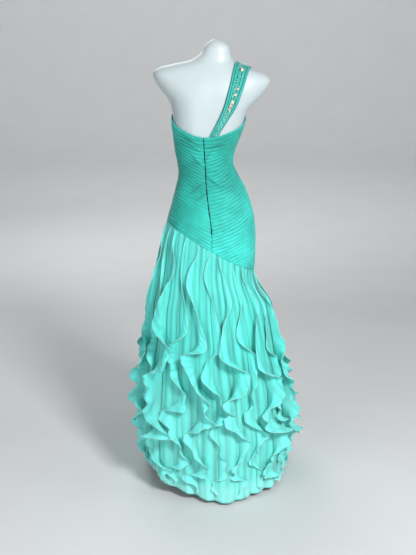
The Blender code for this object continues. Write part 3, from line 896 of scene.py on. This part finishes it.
def bodice_points(place, pleats, columns, per_pleat, seed):
    """The outer face of a pleated panel, with small wanderings of the folds."""
    rows = pleats * per_pleat + 1
    row = np.linspace(0, 1, rows)[:, None]
    share = np.linspace(0, 1, columns)[None, :]
    row, share = np.broadcast_arrays(row, share)
    phase = row * pleats
    wander = 0.10 * np.sin(9 * share + 0.9 * phase + seed)
    wander = wander + 0.07 * np.sin(23 * share + 2.3 * phase + 2 * seed)
    wander *= smooth(phase / 2) * smooth((pleats - phase) / 2)
    angle, z = place(row + wander / pleats, share)
    fade = smooth(np.minimum(share, 1 - share) / 0.03 + 0.30)
    strength = 0.86 + 0.14 * np.sin(5 * share + 1.7 * np.floor(phase) + seed)
    strength = strength * (1 - flat_patch(angle, z))
    out = PANEL_FACE + PLEAT_RISE * pleat_profile(phase) * fade * strength
    points = body_point(angle, z, out)
    level = unit(points * [1, 1, 0])
    height, shade = tension_folds(points)
    points = points + level * height[..., None]
    # How strongly each pleat's crease is painted with shade
    tone = np.clip(strength, 0, 1) ** 1.5
    steps = np.linalg.norm(np.diff(points[rows // 3], axis=0), axis=-1)
    around = np.concatenate([[0], np.cumsum(steps)])
    uv = np.stack([np.broadcast_to(around, phase.shape), phase], -1)
    return points, uv, tone, shade


def trim_at_seam(mesh):
    """Cuts away the part of a panel under the hip seam's plane."""
    with edited(mesh) as bm:
        bmesh.ops.bisect_plane(
            bm,
            geom=bm.verts[:] + bm.edges[:] + bm.faces[:],
            plane_co=(0, 0, SEAM_HEIGHT),
            plane_no=(SEAM_SLOPE, 0, 1),
            clear_inner=True,
        )


def flounce_width(number, wave, down, look):
    """How far a flounce reaches, as a share of its step round the skirt, and in metres."""
    upper = number % 2 == 1
    narrow_top = mix(0.30, 1.0, smooth(down / 0.20))
    uneven = np.sin(2.3 * wave + 1.9 * number) + 0.7 * np.sin(4.1 * wave + 2.7 * number)
    reach = (UPPER_REACH if upper else LOWER_REACH) * narrow_top * FLOUNCES[number].fullness
    reach = reach * (1 + look.unevenness * uneven)
    reach = reach * mix(look.upper_width, 1.0, smooth((down - 0.12) / 0.45))
    behind = bell(wrapped(number * FLOUNCE_STEP - 6), 0, 24)
    reach = reach * (1 - look.calm_train * behind * smooth((down - 0.60) / 0.16))
    step_length = 2 * math.pi * mix(0.150, 0.270, smooth(down / 0.55)) / FLOUNCE_COUNT
    return reach, reach * step_length


def flounce_grid(skirt, number, rows, columns, look):
    """A flounce's points: rows run down its seam, columns from the seam to the free edge."""
    flounce = FLOUNCES[number]
    wave = np.linspace(0, HALF_WAVES, rows)[:, None]
    across = np.linspace(0, 1, columns)[None, :]
    wave, across = np.broadcast_arrays(wave, across)
    # The waves get a little shorter towards the hem
    down = 0.004 + 0.2 * wave - 0.0089 * wave * wave
    low = smooth((down - 0.30) / 0.30)
    reach, width = flounce_width(number, wave, down, look)

    # The cloth swings from side to side down the seam, and its edge runs out slower than back
    phase = wave + flounce.shift + 0.16 * np.sin(1.7 * wave + 2.3 * number) * smooth(wave)
    start = math.cos(math.pi * flounce.shift)
    phase = phase - look.lean / math.pi * (np.cos(math.pi * phase) - start)
    swing = flounce.side * SWING * np.cos(math.pi * phase)
    standing = np.cos(swing)

    # Tight ruffles of the lower edge
    ruffle = 2 * math.pi * look.ruffle_waves * wave / HALF_WAVES + 1.3 * number
    ruffled = look.ruffle * low * smooth((across - 0.25) / 0.75)
    sideways = np.clip(np.sin(swing) + ruffled * np.sin(ruffle), -1.05, 1.05)
    angle = number * FLOUNCE_STEP + FLOUNCE_STEP * reach * across * sideways

    # Upright folds, and a lip that curls outward along the free edge
    wobble = 0.8 * np.sin(6 * down + number) + 1.7 * number
    crest = rounded_folds(np.radians(mix(29, 22, low) * angle) + wobble)
    taken = smooth(1.3 * across) * mix(0.55, 1, low) * (1 - 0.5 * standing)
    lip = smooth((across - 0.65) / 0.35) * (0.3 + 1.2 * low * crest * standing)
    curl = look.edge_curl * width * lip
    rise = width * across * standing * LIFT + curl + look.fluting * width * taken * crest
    rise = rise + 0.55 * width * ruffled * (0.4 + np.cos(ruffle))
    if number % 2 == 1:
        rise = rise + UPPER_RISE * width * smooth(across / 0.4)
    level = mix(0.0010, FLOUNCE_ROOT_LEVEL, smooth(3 * wave))
    level = level + rise * mix(1.0, 0.4, smooth((down - 0.74) / 0.20))

    # The edge hangs lower than the seam, and less so near the hem
    sag = mix(look.upper_droop, 1.0, low) * mix(0.68, 0.56, standing)
    hang = mix(1.0, 0.25, smooth((down - 0.78) / 0.19)) / SKIRT_LENGTH
    drop = (width * across**1.3 * sag - 0.5 * curl * low) * hang
    point, out = skirt.at(angle, np.minimum(down + drop, 1.0))
    points = point + out * np.maximum(level, 0.0016)[..., None]
    uv = np.stack([across * width, wave * 0.12], -1)
    # Painted shade and painted light: darker near the seam under the flounce above and in fold
    # valleys, lighter on crests and towards the free edge
    hollow = mix(0.10, 0.0, low) + 0.08 * np.cos(ruffle) * ruffled
    tone = hollow + 0.50 * mix(0.7, crest, smooth(1.3 * across))
    tone = tone + mix(0.26, 0.38, low) * smooth(across / 0.8)
    return points, uv, tone


# Sizes and colours a user may change


def colour_of(name, description, default):
    return FloatVectorProperty(
        name=name, description=description, subtype="COLOR", size=3, min=0, max=1, default=default
    )


def share_of(name, description, default, most, least=0.0):
    return FloatProperty(name=name, description=description, min=least, max=most, default=default)


def length_in(name, description, default, least, most):
    return FloatProperty(
        name=name, description=description, unit="LENGTH", min=least, max=most, default=default
    )


def power_of(name, description, default, most=1000):
    return FloatProperty(
        name=name, description=description, subtype="POWER", min=0, max=most, default=default
    )


class DressLook(bpy.types.PropertyGroup):
    """Colours and small sizes of the dress."""

    bodice_colour: colour_of("Bodice colour", "Pleated chiffon", (0.062, 0.80, 0.70))
    flounce_colour: colour_of("Flounce colour", "Sheer chiffon of the skirt", (0.135, 0.86, 0.775))
    # The rolled hems are real, and painted paler than the flounces as a highlight along each roll
    hem_highlight_colour: colour_of("Rolled hem colour", "Pale edge of every flounce", (0.50, 0.96, 0.90))
    form_colour: colour_of("Form colour", "Satin skin of the form", (0.54, 0.63, 0.65))
    hem_radius: length_in(
        "Rolled hem radius", "Radius of the roll at a flounce's edge", 0.0009, 0.0003, 0.003
    )
    edge_curl: share_of(
        "Edge curl", "Outward curl of a flounce's edge, as a share of its width", 0.12, 0.5
    )
    fluting: share_of("Fluting", "Upright folds of a flounce, as a share of its width", 0.13, 0.5)
    lean: share_of(
        "Lean", "How much slower a flounce's edge runs out than it turns back", 0.62, 0.8
    )
    upper_width: share_of(
        "Upper width", "Width of the flounces' upper waves, as a share of the lower ones'",
        0.68, 1.0, 0.3,
    )
    upper_droop: share_of(
        "Upper droop", "Hang of the upper waves, as a share of the lower ones'", 0.4, 1.0
    )
    unevenness: share_of(
        "Unevenness", "How much a flounce's width varies down its length", 0.10, 0.3
    )
    calm_train: share_of(
        "Calm train", "How much narrower the flounces get low at the centre back", 0.55, 0.9
    )
    ruffle: share_of(
        "Ruffle", "Tight waves of the lower flounces' edge, as a share of their width", 0.26, 0.6
    )
    ruffle_waves: share_of(
        "Ruffle waves", "How many tight waves a flounce's edge has from top to bottom", 12, 30
    )
    pleat_rows: IntProperty(
        name="Rows in a pleat", description="Rows of faces in each pleat of the bodice",
        min=3, max=10, default=6,
    )
    coil_spacing: length_in(
        "Coil spacing", "From one link of the zip to the next", 0.0014, 0.0008, 0.003
    )


class StageLook(bpy.types.PropertyGroup):
    """Floor and lights."""

    floor_colour: colour_of("Floor colour", "Plain pale floor", (0.74, 0.75, 0.76))
    key_power: power_of("Key light", "Power of the large light above the camera", 116)
    fill_power: power_of("Fill light", "Power of each side light", 20)
    wall_power: power_of("Wall light", "Power of the light on the wall behind the dress", 300, 2000)


def finished(obj, slot, *nodes):
    """Ties a piece to the frame's body and hides the solids it stands for; its slot is not used."""
    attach(obj, BODY)
    if nodes:
        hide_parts(*nodes)
    return obj


def rolled_edge(name, lines, finish, radius, slot, closed=False, sides=8):
    """A piece of round rolled edges along these lines of points."""
    line = path_object(name, lines, closed)
    return finished(grown(line, roll_tree(finish), Radius=radius, Sides=sides), slot)


class DRESS_OT_form(bpy.types.Operator):
    """Builds the smooth torso form"""

    bl_idname = "dress.form"
    bl_label = "Torso form"

    SIDES = 128
    RINGS = 190

    def execute(self, context):
        look = context.scene.dress_look
        z = np.linspace(FORM_SECTIONS[0].z, FORM_SECTIONS[-1].z, self.RINGS)[:, None]
        angle = np.arange(self.SIDES)[None, :] * 360 / self.SIDES
        mesh = grid_mesh("dress_form", form_shape(angle, z)[::-1], closed=True)
        with edited(mesh) as bm:
            bmesh.ops.holes_fill(bm, edges=[e for e in bm.edges if e.is_boundary], sides=0)
            bmesh.ops.recalc_face_normals(bm, faces=bm.faces)
        mesh.shade_smooth()
        mesh.set_sharp_from_angle(angle=math.radians(50))
        satin = satin_white("Form satin", tuple(look.form_colour))
        finished(new_object("dress_form", mesh, satin), "form_white", "form_torso")
        return {"FINISHED"}


def turned(name, outline, sides, finish):
    """A closed outline of radius and height, turned about the Z axis."""
    mesh = lathe_mesh(name, outline + outline[:1], sides)
    with edited(mesh) as bm:
        bmesh.ops.remove_doubles(bm, verts=bm.verts, dist=0.00001)
        bmesh.ops.recalc_face_normals(bm, faces=bm.faces)
    mesh.shade_smooth()
    mesh.set_sharp_from_angle(angle=math.radians(35))
    return new_object(name, mesh, finish)


def rounded(outline, radius, steps=4):
    """An outline with each corner cut to a short arc."""
    made = []
    for i, corner in enumerate(outline):
        corner = Vector(corner)
        before = (Vector(outline[i - 1]) - corner).normalized() * radius
        after = (Vector(outline[(i + 1) % len(outline)]) - corner).normalized() * radius
        for step in range(steps + 1):
            t = step / steps
            made.append(tuple(corner + before * (1 - t) ** 2 + after * t**2))
    return made


class DRESS_OT_stand(bpy.types.Operator):
    """Builds the round base and its rim, and gives the pole and its collars brushed steel"""

    bl_idname = "dress.stand"
    bl_label = "Pole and base"

    def execute(self, context):
        board = varnished("Dark base", (0.012, 0.012, 0.014), 0.25)
        tan = varnished("Tan rim", (0.30, 0.19, 0.10), 0.35)
        steel = brushed_metal("Brushed steel", (0.55, 0.56, 0.57), 0.3)
        top = BASE_HEIGHT + 0.001
        inner, outer = BASE_RADIUS + SEAM_GAP, BASE_RADIUS + RIM_WIDTH
        middle = 0.00001
        plate = [(middle, BASE_HEIGHT), (BASE_RADIUS, BASE_HEIGHT), (BASE_RADIUS, 0), (middle, 0)]
        finished(turned("base_plate", plate, 128, board), "base_plate", "stand_base")
        rim = rounded([(inner, top), (outer, top), (outer, 0), (inner, 0)], 0.0025)
        finished(turned("base_rim", rim, 160, tan), "base_rim", "stand_rim")
        for node in ("pole_foot", "stand_pole", "form_plate"):
            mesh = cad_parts[node].data
            if mesh.materials:
                mesh.materials[0] = steel
            else:
                mesh.materials.append(steel)
        return {"FINISHED"}


class DRESS_OT_bodice(bpy.types.Operator):
    """Builds the pleated panels, their bound neckline and the roll along the hip seam"""

    bl_idname = "dress.bodice"
    bl_label = "Pleated bodice"

    CLOTH = 0.0010
    BINDING = 0.0017
    SEAM_ROLL = 0.0014
    # A sheet's flat size leaves this much more than the finished cloth
    SPARE_WIDTH = 1.1
    SPARE_LENGTH = 1.02
    SPARE_AREA = 1.05

    def execute(self, context):
        look = context.scene.dress_look
        cloth = chiffon("Pleated chiffon", shades(look.bodice_colour), 0.12, 300.0, pleated=True)
        binding = chiffon("Neck binding", shades(look.bodice_colour, 0.5, 1.0), 0.1, 300.0)
        for name, place, pleats, columns, seed in (
            ("bodice_back_left", left_back_place, LEFT_PLEATS, 72, 0.4),
            ("bodice_back_right", right_back_place, RIGHT_PLEATS, 72, 1.9),
            ("bodice_front", front_place, FRONT_PLEATS, 130, 3.1),
        ):
            points, uv, tone, shade = bodice_points(place, pleats, columns, look.pleat_rows, seed)
            mesh = grid_mesh(name + "_cloth", points, uv, tone=tone, shade=shade)
            trim_at_seam(mesh)
            obj = walled(new_object(name + "_cloth", mesh, cloth), self.CLOTH)
            finished(obj, "bodice_chiffon", name)
        share = np.linspace(0, 1, 90)
        neck = []
        for place in (left_back_place, right_back_place, front_place):
            angle, z = place(0 * share, share)
            neck.append(body_point(angle, z + 0.0004, PANEL_FACE))
        rolled_edge("neck_binding", neck, binding, self.BINDING, "bodice_chiffon")
        angle = np.arange(240) * 1.5
        z = seam_height(lambda a, h: body_point(a, h, FORM_GAP + WALL), angle, 0.0004)
        seam = [body_point(angle, z, FORM_GAP + WALL + 0.0002)]
        rolled_edge("hip_seam_fold", seam, cloth, self.SEAM_ROLL, "bodice_chiffon", closed=True)
        return {"FINISHED"}


class DRESS_OT_zip(bpy.types.Operator):
    """Builds the zip's tape and its coil, down to the closed seam"""

    bl_idname = "dress.zip"
    bl_label = "Back zip"

    TAPE_END = 0.884
    TAPE = 0.0006
    LINK = 0.0009

    def execute(self, context):
        look = context.scene.dress_look
        # A real zip, coloured dark as painted shadow in the gap between the panels
        tape_cloth = zip_cloth("Zip tape", (0.010, 0.10, 0.08))
        coil = coil_tree(zip_cloth("Zip coil", (0.008, 0.07, 0.06)))
        z = np.linspace(NECKLINE[0].z - 0.003, self.TAPE_END, 120)
        shifts = np.linspace(-ZIP_WIDTH / 2, ZIP_WIDTH / 2, 7)
        z, shift = np.meshgrid(z, shifts, indexing="ij")
        hollow = 0.0005 * np.cos(shift / ZIP_WIDTH * 2 * math.pi)
        points = body_point(zip_angle(z, shift), z, FORM_GAP - 0.0001 + hollow)
        mesh = grid_mesh("zip_tape", points, np.stack([shift, z], -1))
        tape = walled(new_object("zip_tape", mesh, tape_cloth), self.TAPE)
        finished(tape, "zip_tape", "back_zip")
        run = np.linspace(NECKLINE[0].z - 0.006, ZIP_BOTTOM, 200)
        chain = path_object("zip_coil", [body_point(zip_angle(run), run, FORM_GAP + 0.0013)])
        finished(grown(chain, coil, Spacing=look.coil_spacing, Link=self.LINK), "zip_tape")
        return {"FINISHED"}


def surface_tree(obj):
    bpy.context.view_layer.update()
    return BVHTree.FromObject(obj, bpy.context.evaluated_depsgraph_get())


def strap_point(tree, turn, across):
    """Where a piece of the strap meets a surface under it, and the normal there."""
    x, half_width = STRAP_TRACK(turn)
    away = Vector((0, -math.cos(math.radians(turn)), math.sin(math.radians(turn))))
    pivot = STRAP_PIVOT + Vector((float(x + across * half_width), 0, 0))
    point, normal, _, _ = tree.ray_cast(pivot + away * 0.4, -away)
    return np.array(point), np.array(normal)


class DRESS_OT_strap(bpy.types.Operator):
    """Builds the gathered strap and its dark edging"""

    bl_idname = "dress.strap"
    bl_label = "Shoulder strap"

    ROWS = 220
    COLUMNS = 33
    FOLDS = 5
    FOLD_RISE = 0.0022
    EDGING = 0.0011
    CLOTH = 0.0010
    GATHERS = 1.25

    def execute(self, context):
        look = context.scene.dress_look
        tones = shades(look.bodice_colour, 0.18, 0.74)
        cloth = chiffon("Strap chiffon", tones, 0.06, 300.0, fold_shaded=True)
        tree = surface_tree(bpy.data.objects["dress_form"])
        turns = np.linspace(STRAP[0].turn, STRAP[-1].turn, self.ROWS)
        shares = np.linspace(-1, 1, self.COLUMNS)
        points = np.zeros((self.ROWS, self.COLUMNS, 3))
        tone = np.zeros((self.ROWS, self.COLUMNS))
        for r, turn in enumerate(turns):
            for c, share in enumerate(shares):
                point, normal = strap_point(tree, turn, share)
                lane = (share + 1) / 2 * self.FOLDS + 0.22 * math.sin(0.045 * turn + 2 * share)
                gather = abs(math.sin(math.pi * lane)) ** 0.7
                edge = min(1.0, (1 - abs(share)) / 0.12)
                height = STRAP_OUT - self.CLOTH + self.FOLD_RISE * gather * edge
                points[r, c] = point + normal * height
                # Painted shade in the gathers' valleys and painted light on their crests
                tone[r, c] = 0.05 + 0.62 * gather
        uv = np.stack(np.meshgrid(np.radians(turns) * 0.12, shares * 0.022, indexing="ij"), -1)
        strap = new_object("strap_cloth", grid_mesh("strap_cloth", points, uv, tone=tone), cloth)
        finished(walled(strap, self.CLOTH), "bodice_chiffon", "shoulder_strap")
        dark = zip_cloth("Strap edging", (0.045, 0.05, 0.04))
        edges = [points[:, 0], points[:, -1]]
        rolled_edge("strap_edging", edges, dark, self.EDGING, "bodice_chiffon")
        return {"FINISHED"}


def oval(length, width, turn, height):
    return Vector((length / 2 * math.cos(turn), width / 2 * math.sin(turn), height))


def cut_stone(centre, frame_axes, length, width, height, sides=10):
    """A faceted oval stone: girdle, crown and table, as points and faces."""
    rings = ((0.86, -0.50), (1.0, -0.16), (0.80, 0.30), (0.46, 0.50))
    points, faces = [], []
    for k, (radius, level) in enumerate(rings):
        for i in range(sides):
            turn = 2 * math.pi * (i + 0.5 * (k % 2)) / sides
            offset = oval(length * radius, width * radius, turn, height * level)
            points.append(centre + frame_axes @ offset)
    for k in range(len(rings) - 1):
        for i in range(sides):
            j = (i + 1) % sides
            a, b = k * sides + i, k * sides + j
            c, d = (k + 1) * sides + i, (k + 1) * sides + j
            faces += [(a, b, c), (b, d, c)] if k % 2 else [(a, b, d), (a, d, c)]
    faces.append(tuple(range(sides))[::-1])
    faces.append(tuple((len(rings) - 1) * sides + i for i in range(sides)))
    return points, faces


class DRESS_OT_jewels(bpy.types.Operator):
    """Sets the stones in gold setting rings and the small beads on the strap"""

    bl_idname = "dress.jewels"
    bl_label = "Stones and beads"

    BEADS = 150
    BEAD = 0.0017
    # The beads go from just above the neckline to just over the shoulder
    FIRST_BEAD = STRAP[0].turn + 3
    LAST_BEAD = 104
    SETTING = 0.0008
    SETTING_OUT = 0.001
    SETTING_LEVEL = -0.0009

    def execute(self, context):
        crystal = cut_glass("Champagne crystal", (0.86, 0.80, 0.64))
        gold = brushed_metal("Old gold", (0.50, 0.42, 0.28), 0.25, (1, 1, 1))
        silvered = cut_glass("Silvered bead", (0.78, 0.95, 0.90))
        tree = surface_tree(bpy.data.objects["strap_cloth"])
        rims = []
        for number, stone in enumerate(STONES, 1):
            point, normal = (Vector(v) for v in strap_point(tree, stone.turn, stone.across))
            ahead = Vector(strap_point(tree, stone.turn + 4, stone.across)[0])
            along = (ahead - point - normal * (ahead - point).dot(normal)).normalized()
            axes = Matrix((along, normal.cross(along), normal)).transposed()
            centre = point + normal * (STONE_HEIGHT / 2 + SEAM_GAP)
            points, faces = cut_stone(centre, axes, stone.length, stone.width, STONE_HEIGHT)
            mesh = bpy.data.meshes.new(f"stone_{number}")
            mesh.from_pydata([tuple(p) for p in points], [], faces)
            with edited(mesh) as bm:
                bmesh.ops.recalc_face_normals(bm, faces=bm.faces)
            cut = new_object(f"stone_{number}", mesh, crystal)
            finished(cut, "stones", f"strap_stone_{number}")
            size = (stone.length + self.SETTING_OUT, stone.width + self.SETTING_OUT)
            turns = [2 * math.pi * i / 28 for i in range(28)]
            rims.append([centre + axes @ oval(*size, t, self.SETTING_LEVEL) for t in turns])
        rolled_edge("stone_settings", rims, gold, self.SETTING, "stones", closed=True)
        rng = np.random.default_rng(7)
        places, sizes = [], []
        for i in range(self.BEADS):
            along = (i + 0.5 * rng.random()) / self.BEADS
            turn = mix(self.FIRST_BEAD, self.LAST_BEAD, along)
            across = 0.06 + 0.62 * math.sin(1.9 * i) * (0.25 + 0.75 * rng.random())
            point, normal = strap_point(tree, turn, across)
            size = 0.45 + 0.65 * rng.random()
            places.append(point + normal * 0.0011 * size)
            sizes.append(size)
        mesh = bpy.data.meshes.new("strap_beads")
        mesh.from_pydata([tuple(p) for p in places], [], [])
        mesh.attributes.new("size", "FLOAT", "POINT").data.foreach_set("value", sizes)
        beads = new_object("strap_beads", mesh)
        finished(grown(beads, bead_tree(silvered), Radius=self.BEAD), "stones")
        return {"FINISHED"}


class DRESS_OT_underskirt(bpy.types.Operator):
    """Builds the underskirt with its soft folds"""

    bl_idname = "dress.underskirt"
    bl_label = "Underskirt"

    CLOTH = 0.0008
    # How far the weave runs round the skirt
    WEAVE_AROUND = 1.7

    def execute(self, context):
        look = context.scene.dress_look
        tones = shades(look.flounce_colour, 0.50, 1.15)
        cloth = chiffon("Underskirt chiffon", tones, 0.10, 240.0, fold_shaded=True)
        grid = SkirtGrid()
        down = np.linspace(0, SKIRT_LENGTH, grid.ROWS)
        across = np.linspace(0, self.WEAVE_AROUND, grid.COLUMNS)
        uv = np.stack(np.meshgrid(down, across, indexing="ij"), -1)
        mesh = grid_mesh("underskirt", grid.points, uv, closed=True, tone=grid.tone)
        obj = walled(new_object("underskirt", mesh, cloth), self.CLOTH)
        gores = [f"underskirt_gore_{i + 1}" for i in range(GORES)]
        finished(obj, "underskirt_chiffon", *gores)
        return {"FINISHED"}


class DRESS_OT_flounces(bpy.types.Operator):
    """Builds the cascading flounces and their rolled edges"""

    bl_idname = "dress.flounces"
    bl_label = "Flounces"

    ROWS = 169
    COLUMNS = 15
    CLOTH = 0.0006
    GATHERS = 1.3

    def execute(self, context):
        look = context.scene.dress_look
        tones = shades(look.flounce_colour, 0.58, 1.22)
        cloth = chiffon("Flounce chiffon", tones, 0.14, 240.0, fold_shaded=True)
        # Painted highlight: the rolled hem is paler than the flounce cloth
        roll = chiffon("Rolled hem", shades(look.hem_highlight_colour, 0.8, 1.1), 0.2, 240.0)
        skirt = SkirtGrid()
        edges = []
        for number in range(FLOUNCE_COUNT):
            points, uv, tone = flounce_grid(skirt, number, self.ROWS, self.COLUMNS, look)
            name = f"flounce_{number + 1:02d}"
            mesh = grid_mesh(name + "_cloth", points, uv, tone=tone)
            obj = walled(new_object(name + "_cloth", mesh, cloth), self.CLOTH, 0)
            finished(obj, "flounce_chiffon", name)
            edges.append(np.concatenate([points[:, -1], points[-1, ::-1]]))
        rolled_edge("rolled_hems", edges, roll, look.hem_radius, "flounce_chiffon", sides=6)
        return {"FINISHED"}


class DRESS_OT_stage(bpy.types.Operator):
    """Builds the pale floor, the soft lights and the camera at the photograph's angle"""

    bl_idname = "dress.stage"
    bl_label = "Stage"

    CAMERA_HEIGHT = 1.65
    CAMERA_DISTANCE = 3.24
    CAMERA_PITCH = 15.6
    FOCAL_LENGTH = 59.03
    MIDDLE_X = -0.018

    # The floor is flat to this radius, then rises in a wide curve into a wall
    FLAT_RADIUS = 8
    CURVE_RADIUS = 3
    WALL_HEIGHT = 7

    def execute(self, context):
        look = context.scene.stage_look
        self.floor(tuple(look.floor_colour))
        fill = look.fill_power
        self.light("key", (1.5, -2.7, 2.8), 0.8, look.key_power)
        self.light("fill_left", (-2.6, -2.2, 3.0), 1.8, fill)
        self.light("fill_right", (3.2, -0.6, 2.2), 1.8, 0.7 * fill)
        self.light("low", (-1.3, -3.1, 0.9), 1.2, 1.1 * fill)
        self.light("back", (-1.2, 3.2, 3.0), 2.4, 2.6 * fill)
        self.light("wall", (0, 3.6, 5.6), 4.5, look.wall_power, aim=(0, 11, 3.4))
        context.scene.view_settings.view_transform = "Standard"
        world = context.scene.world or bpy.data.worlds.new("World")
        context.scene.world = world
        world.use_nodes = True
        background = world.node_tree.nodes["Background"]
        background.inputs["Color"].default_value = (0.86, 0.90, 0.92, 1)
        background.inputs["Strength"].default_value = 0.14
        camera = bpy.data.cameras.new("camera")
        camera.sensor_width = 36
        camera.lens = self.FOCAL_LENGTH
        camera.clip_end = 60
        view = new_object("camera", camera)
        view.location = (self.MIDDLE_X, -self.CAMERA_DISTANCE, self.CAMERA_HEIGHT)
        view.rotation_euler = (math.radians(90 - self.CAMERA_PITCH), 0, 0)
        context.scene.camera = view
        return {"FINISHED"}

    def floor(self, pale):
        made, tree, shader = node_material("Pale floor", pale, 0.75)
        grain = noise(tree, object_coordinates(tree), 3.0)
        tint = ramp(tree, grain, [(0.3, scaled(pale, 0.97)), (0.7, pale)])
        tree.links.new(tint, shader.inputs["Base Color"])
        flat, curve = self.FLAT_RADIUS, self.CURVE_RADIUS
        outline = [(r, 0.0) for r in (0.02, 2, 5, flat)]
        for t in np.linspace(0.2, math.pi / 2, 9):
            outline.append((flat + curve * math.sin(t), curve - curve * math.cos(t)))
        outline.append((flat + curve, self.WALL_HEIGHT))
        mesh = lathe_mesh("floor", outline, 96)
        mesh.flip_normals()
        with edited(mesh) as bm:
            inner = [e for e in bm.edges if e.is_boundary and e.calc_length() < 0.1]
            bmesh.ops.holes_fill(bm, edges=inner, sides=0)
        new_object("floor", mesh, made)

    def light(self, name, place, size, power, aim=(0, 0, 0.8)):
        lamp = bpy.data.lights.new(name, "AREA")
        lamp.size = size
        lamp.energy = power
        obj = new_object(name, lamp)
        obj.location = place
        obj.rotation_euler = (Vector(aim) - Vector(place)).to_track_quat("-Z", "Y").to_euler()


OPERATORS = (
    DRESS_OT_form,
    DRESS_OT_stand,
    DRESS_OT_bodice,
    DRESS_OT_zip,
    DRESS_OT_strap,
    DRESS_OT_jewels,
    DRESS_OT_underskirt,
    DRESS_OT_flounces,
    DRESS_OT_stage,
)


class DRESS_PT_panel(bpy.types.Panel):
    """Lists the dress's pieces and their sizes"""

    bl_idname = "DRESS_PT_panel"
    bl_label = "Evening dress"
    bl_space_type = "VIEW_3D"
    bl_region_type = "UI"
    bl_category = "Dress"

    def draw(self, context):
        column = self.layout.column()
        for group in (context.scene.dress_look, context.scene.stage_look):
            for name in group.__annotations__:
                column.prop(group, name)
        for operator in OPERATORS:
            column.operator(operator.bl_idname)


CLASSES = (DressLook, StageLook, *OPERATORS, DRESS_PT_panel)


def register():
    for kind in CLASSES:
        bpy.utils.register_class(kind)
    bpy.types.Scene.dress_look = PointerProperty(type=DressLook)
    bpy.types.Scene.stage_look = PointerProperty(type=StageLook)


def unregister():
    del bpy.types.Scene.stage_look
    del bpy.types.Scene.dress_look
    for kind in reversed(CLASSES):
        bpy.utils.unregister_class(kind)


def main():
    register()
    bpy.ops.dress.form()
    bpy.ops.dress.stand()
    bpy.ops.dress.bodice()
    bpy.ops.dress.zip()
    bpy.ops.dress.strap()
    bpy.ops.dress.jewels()
    bpy.ops.dress.underskirt()
    bpy.ops.dress.flounces()
    bpy.ops.dress.stage()


if __name__ == "__main__":
    main()
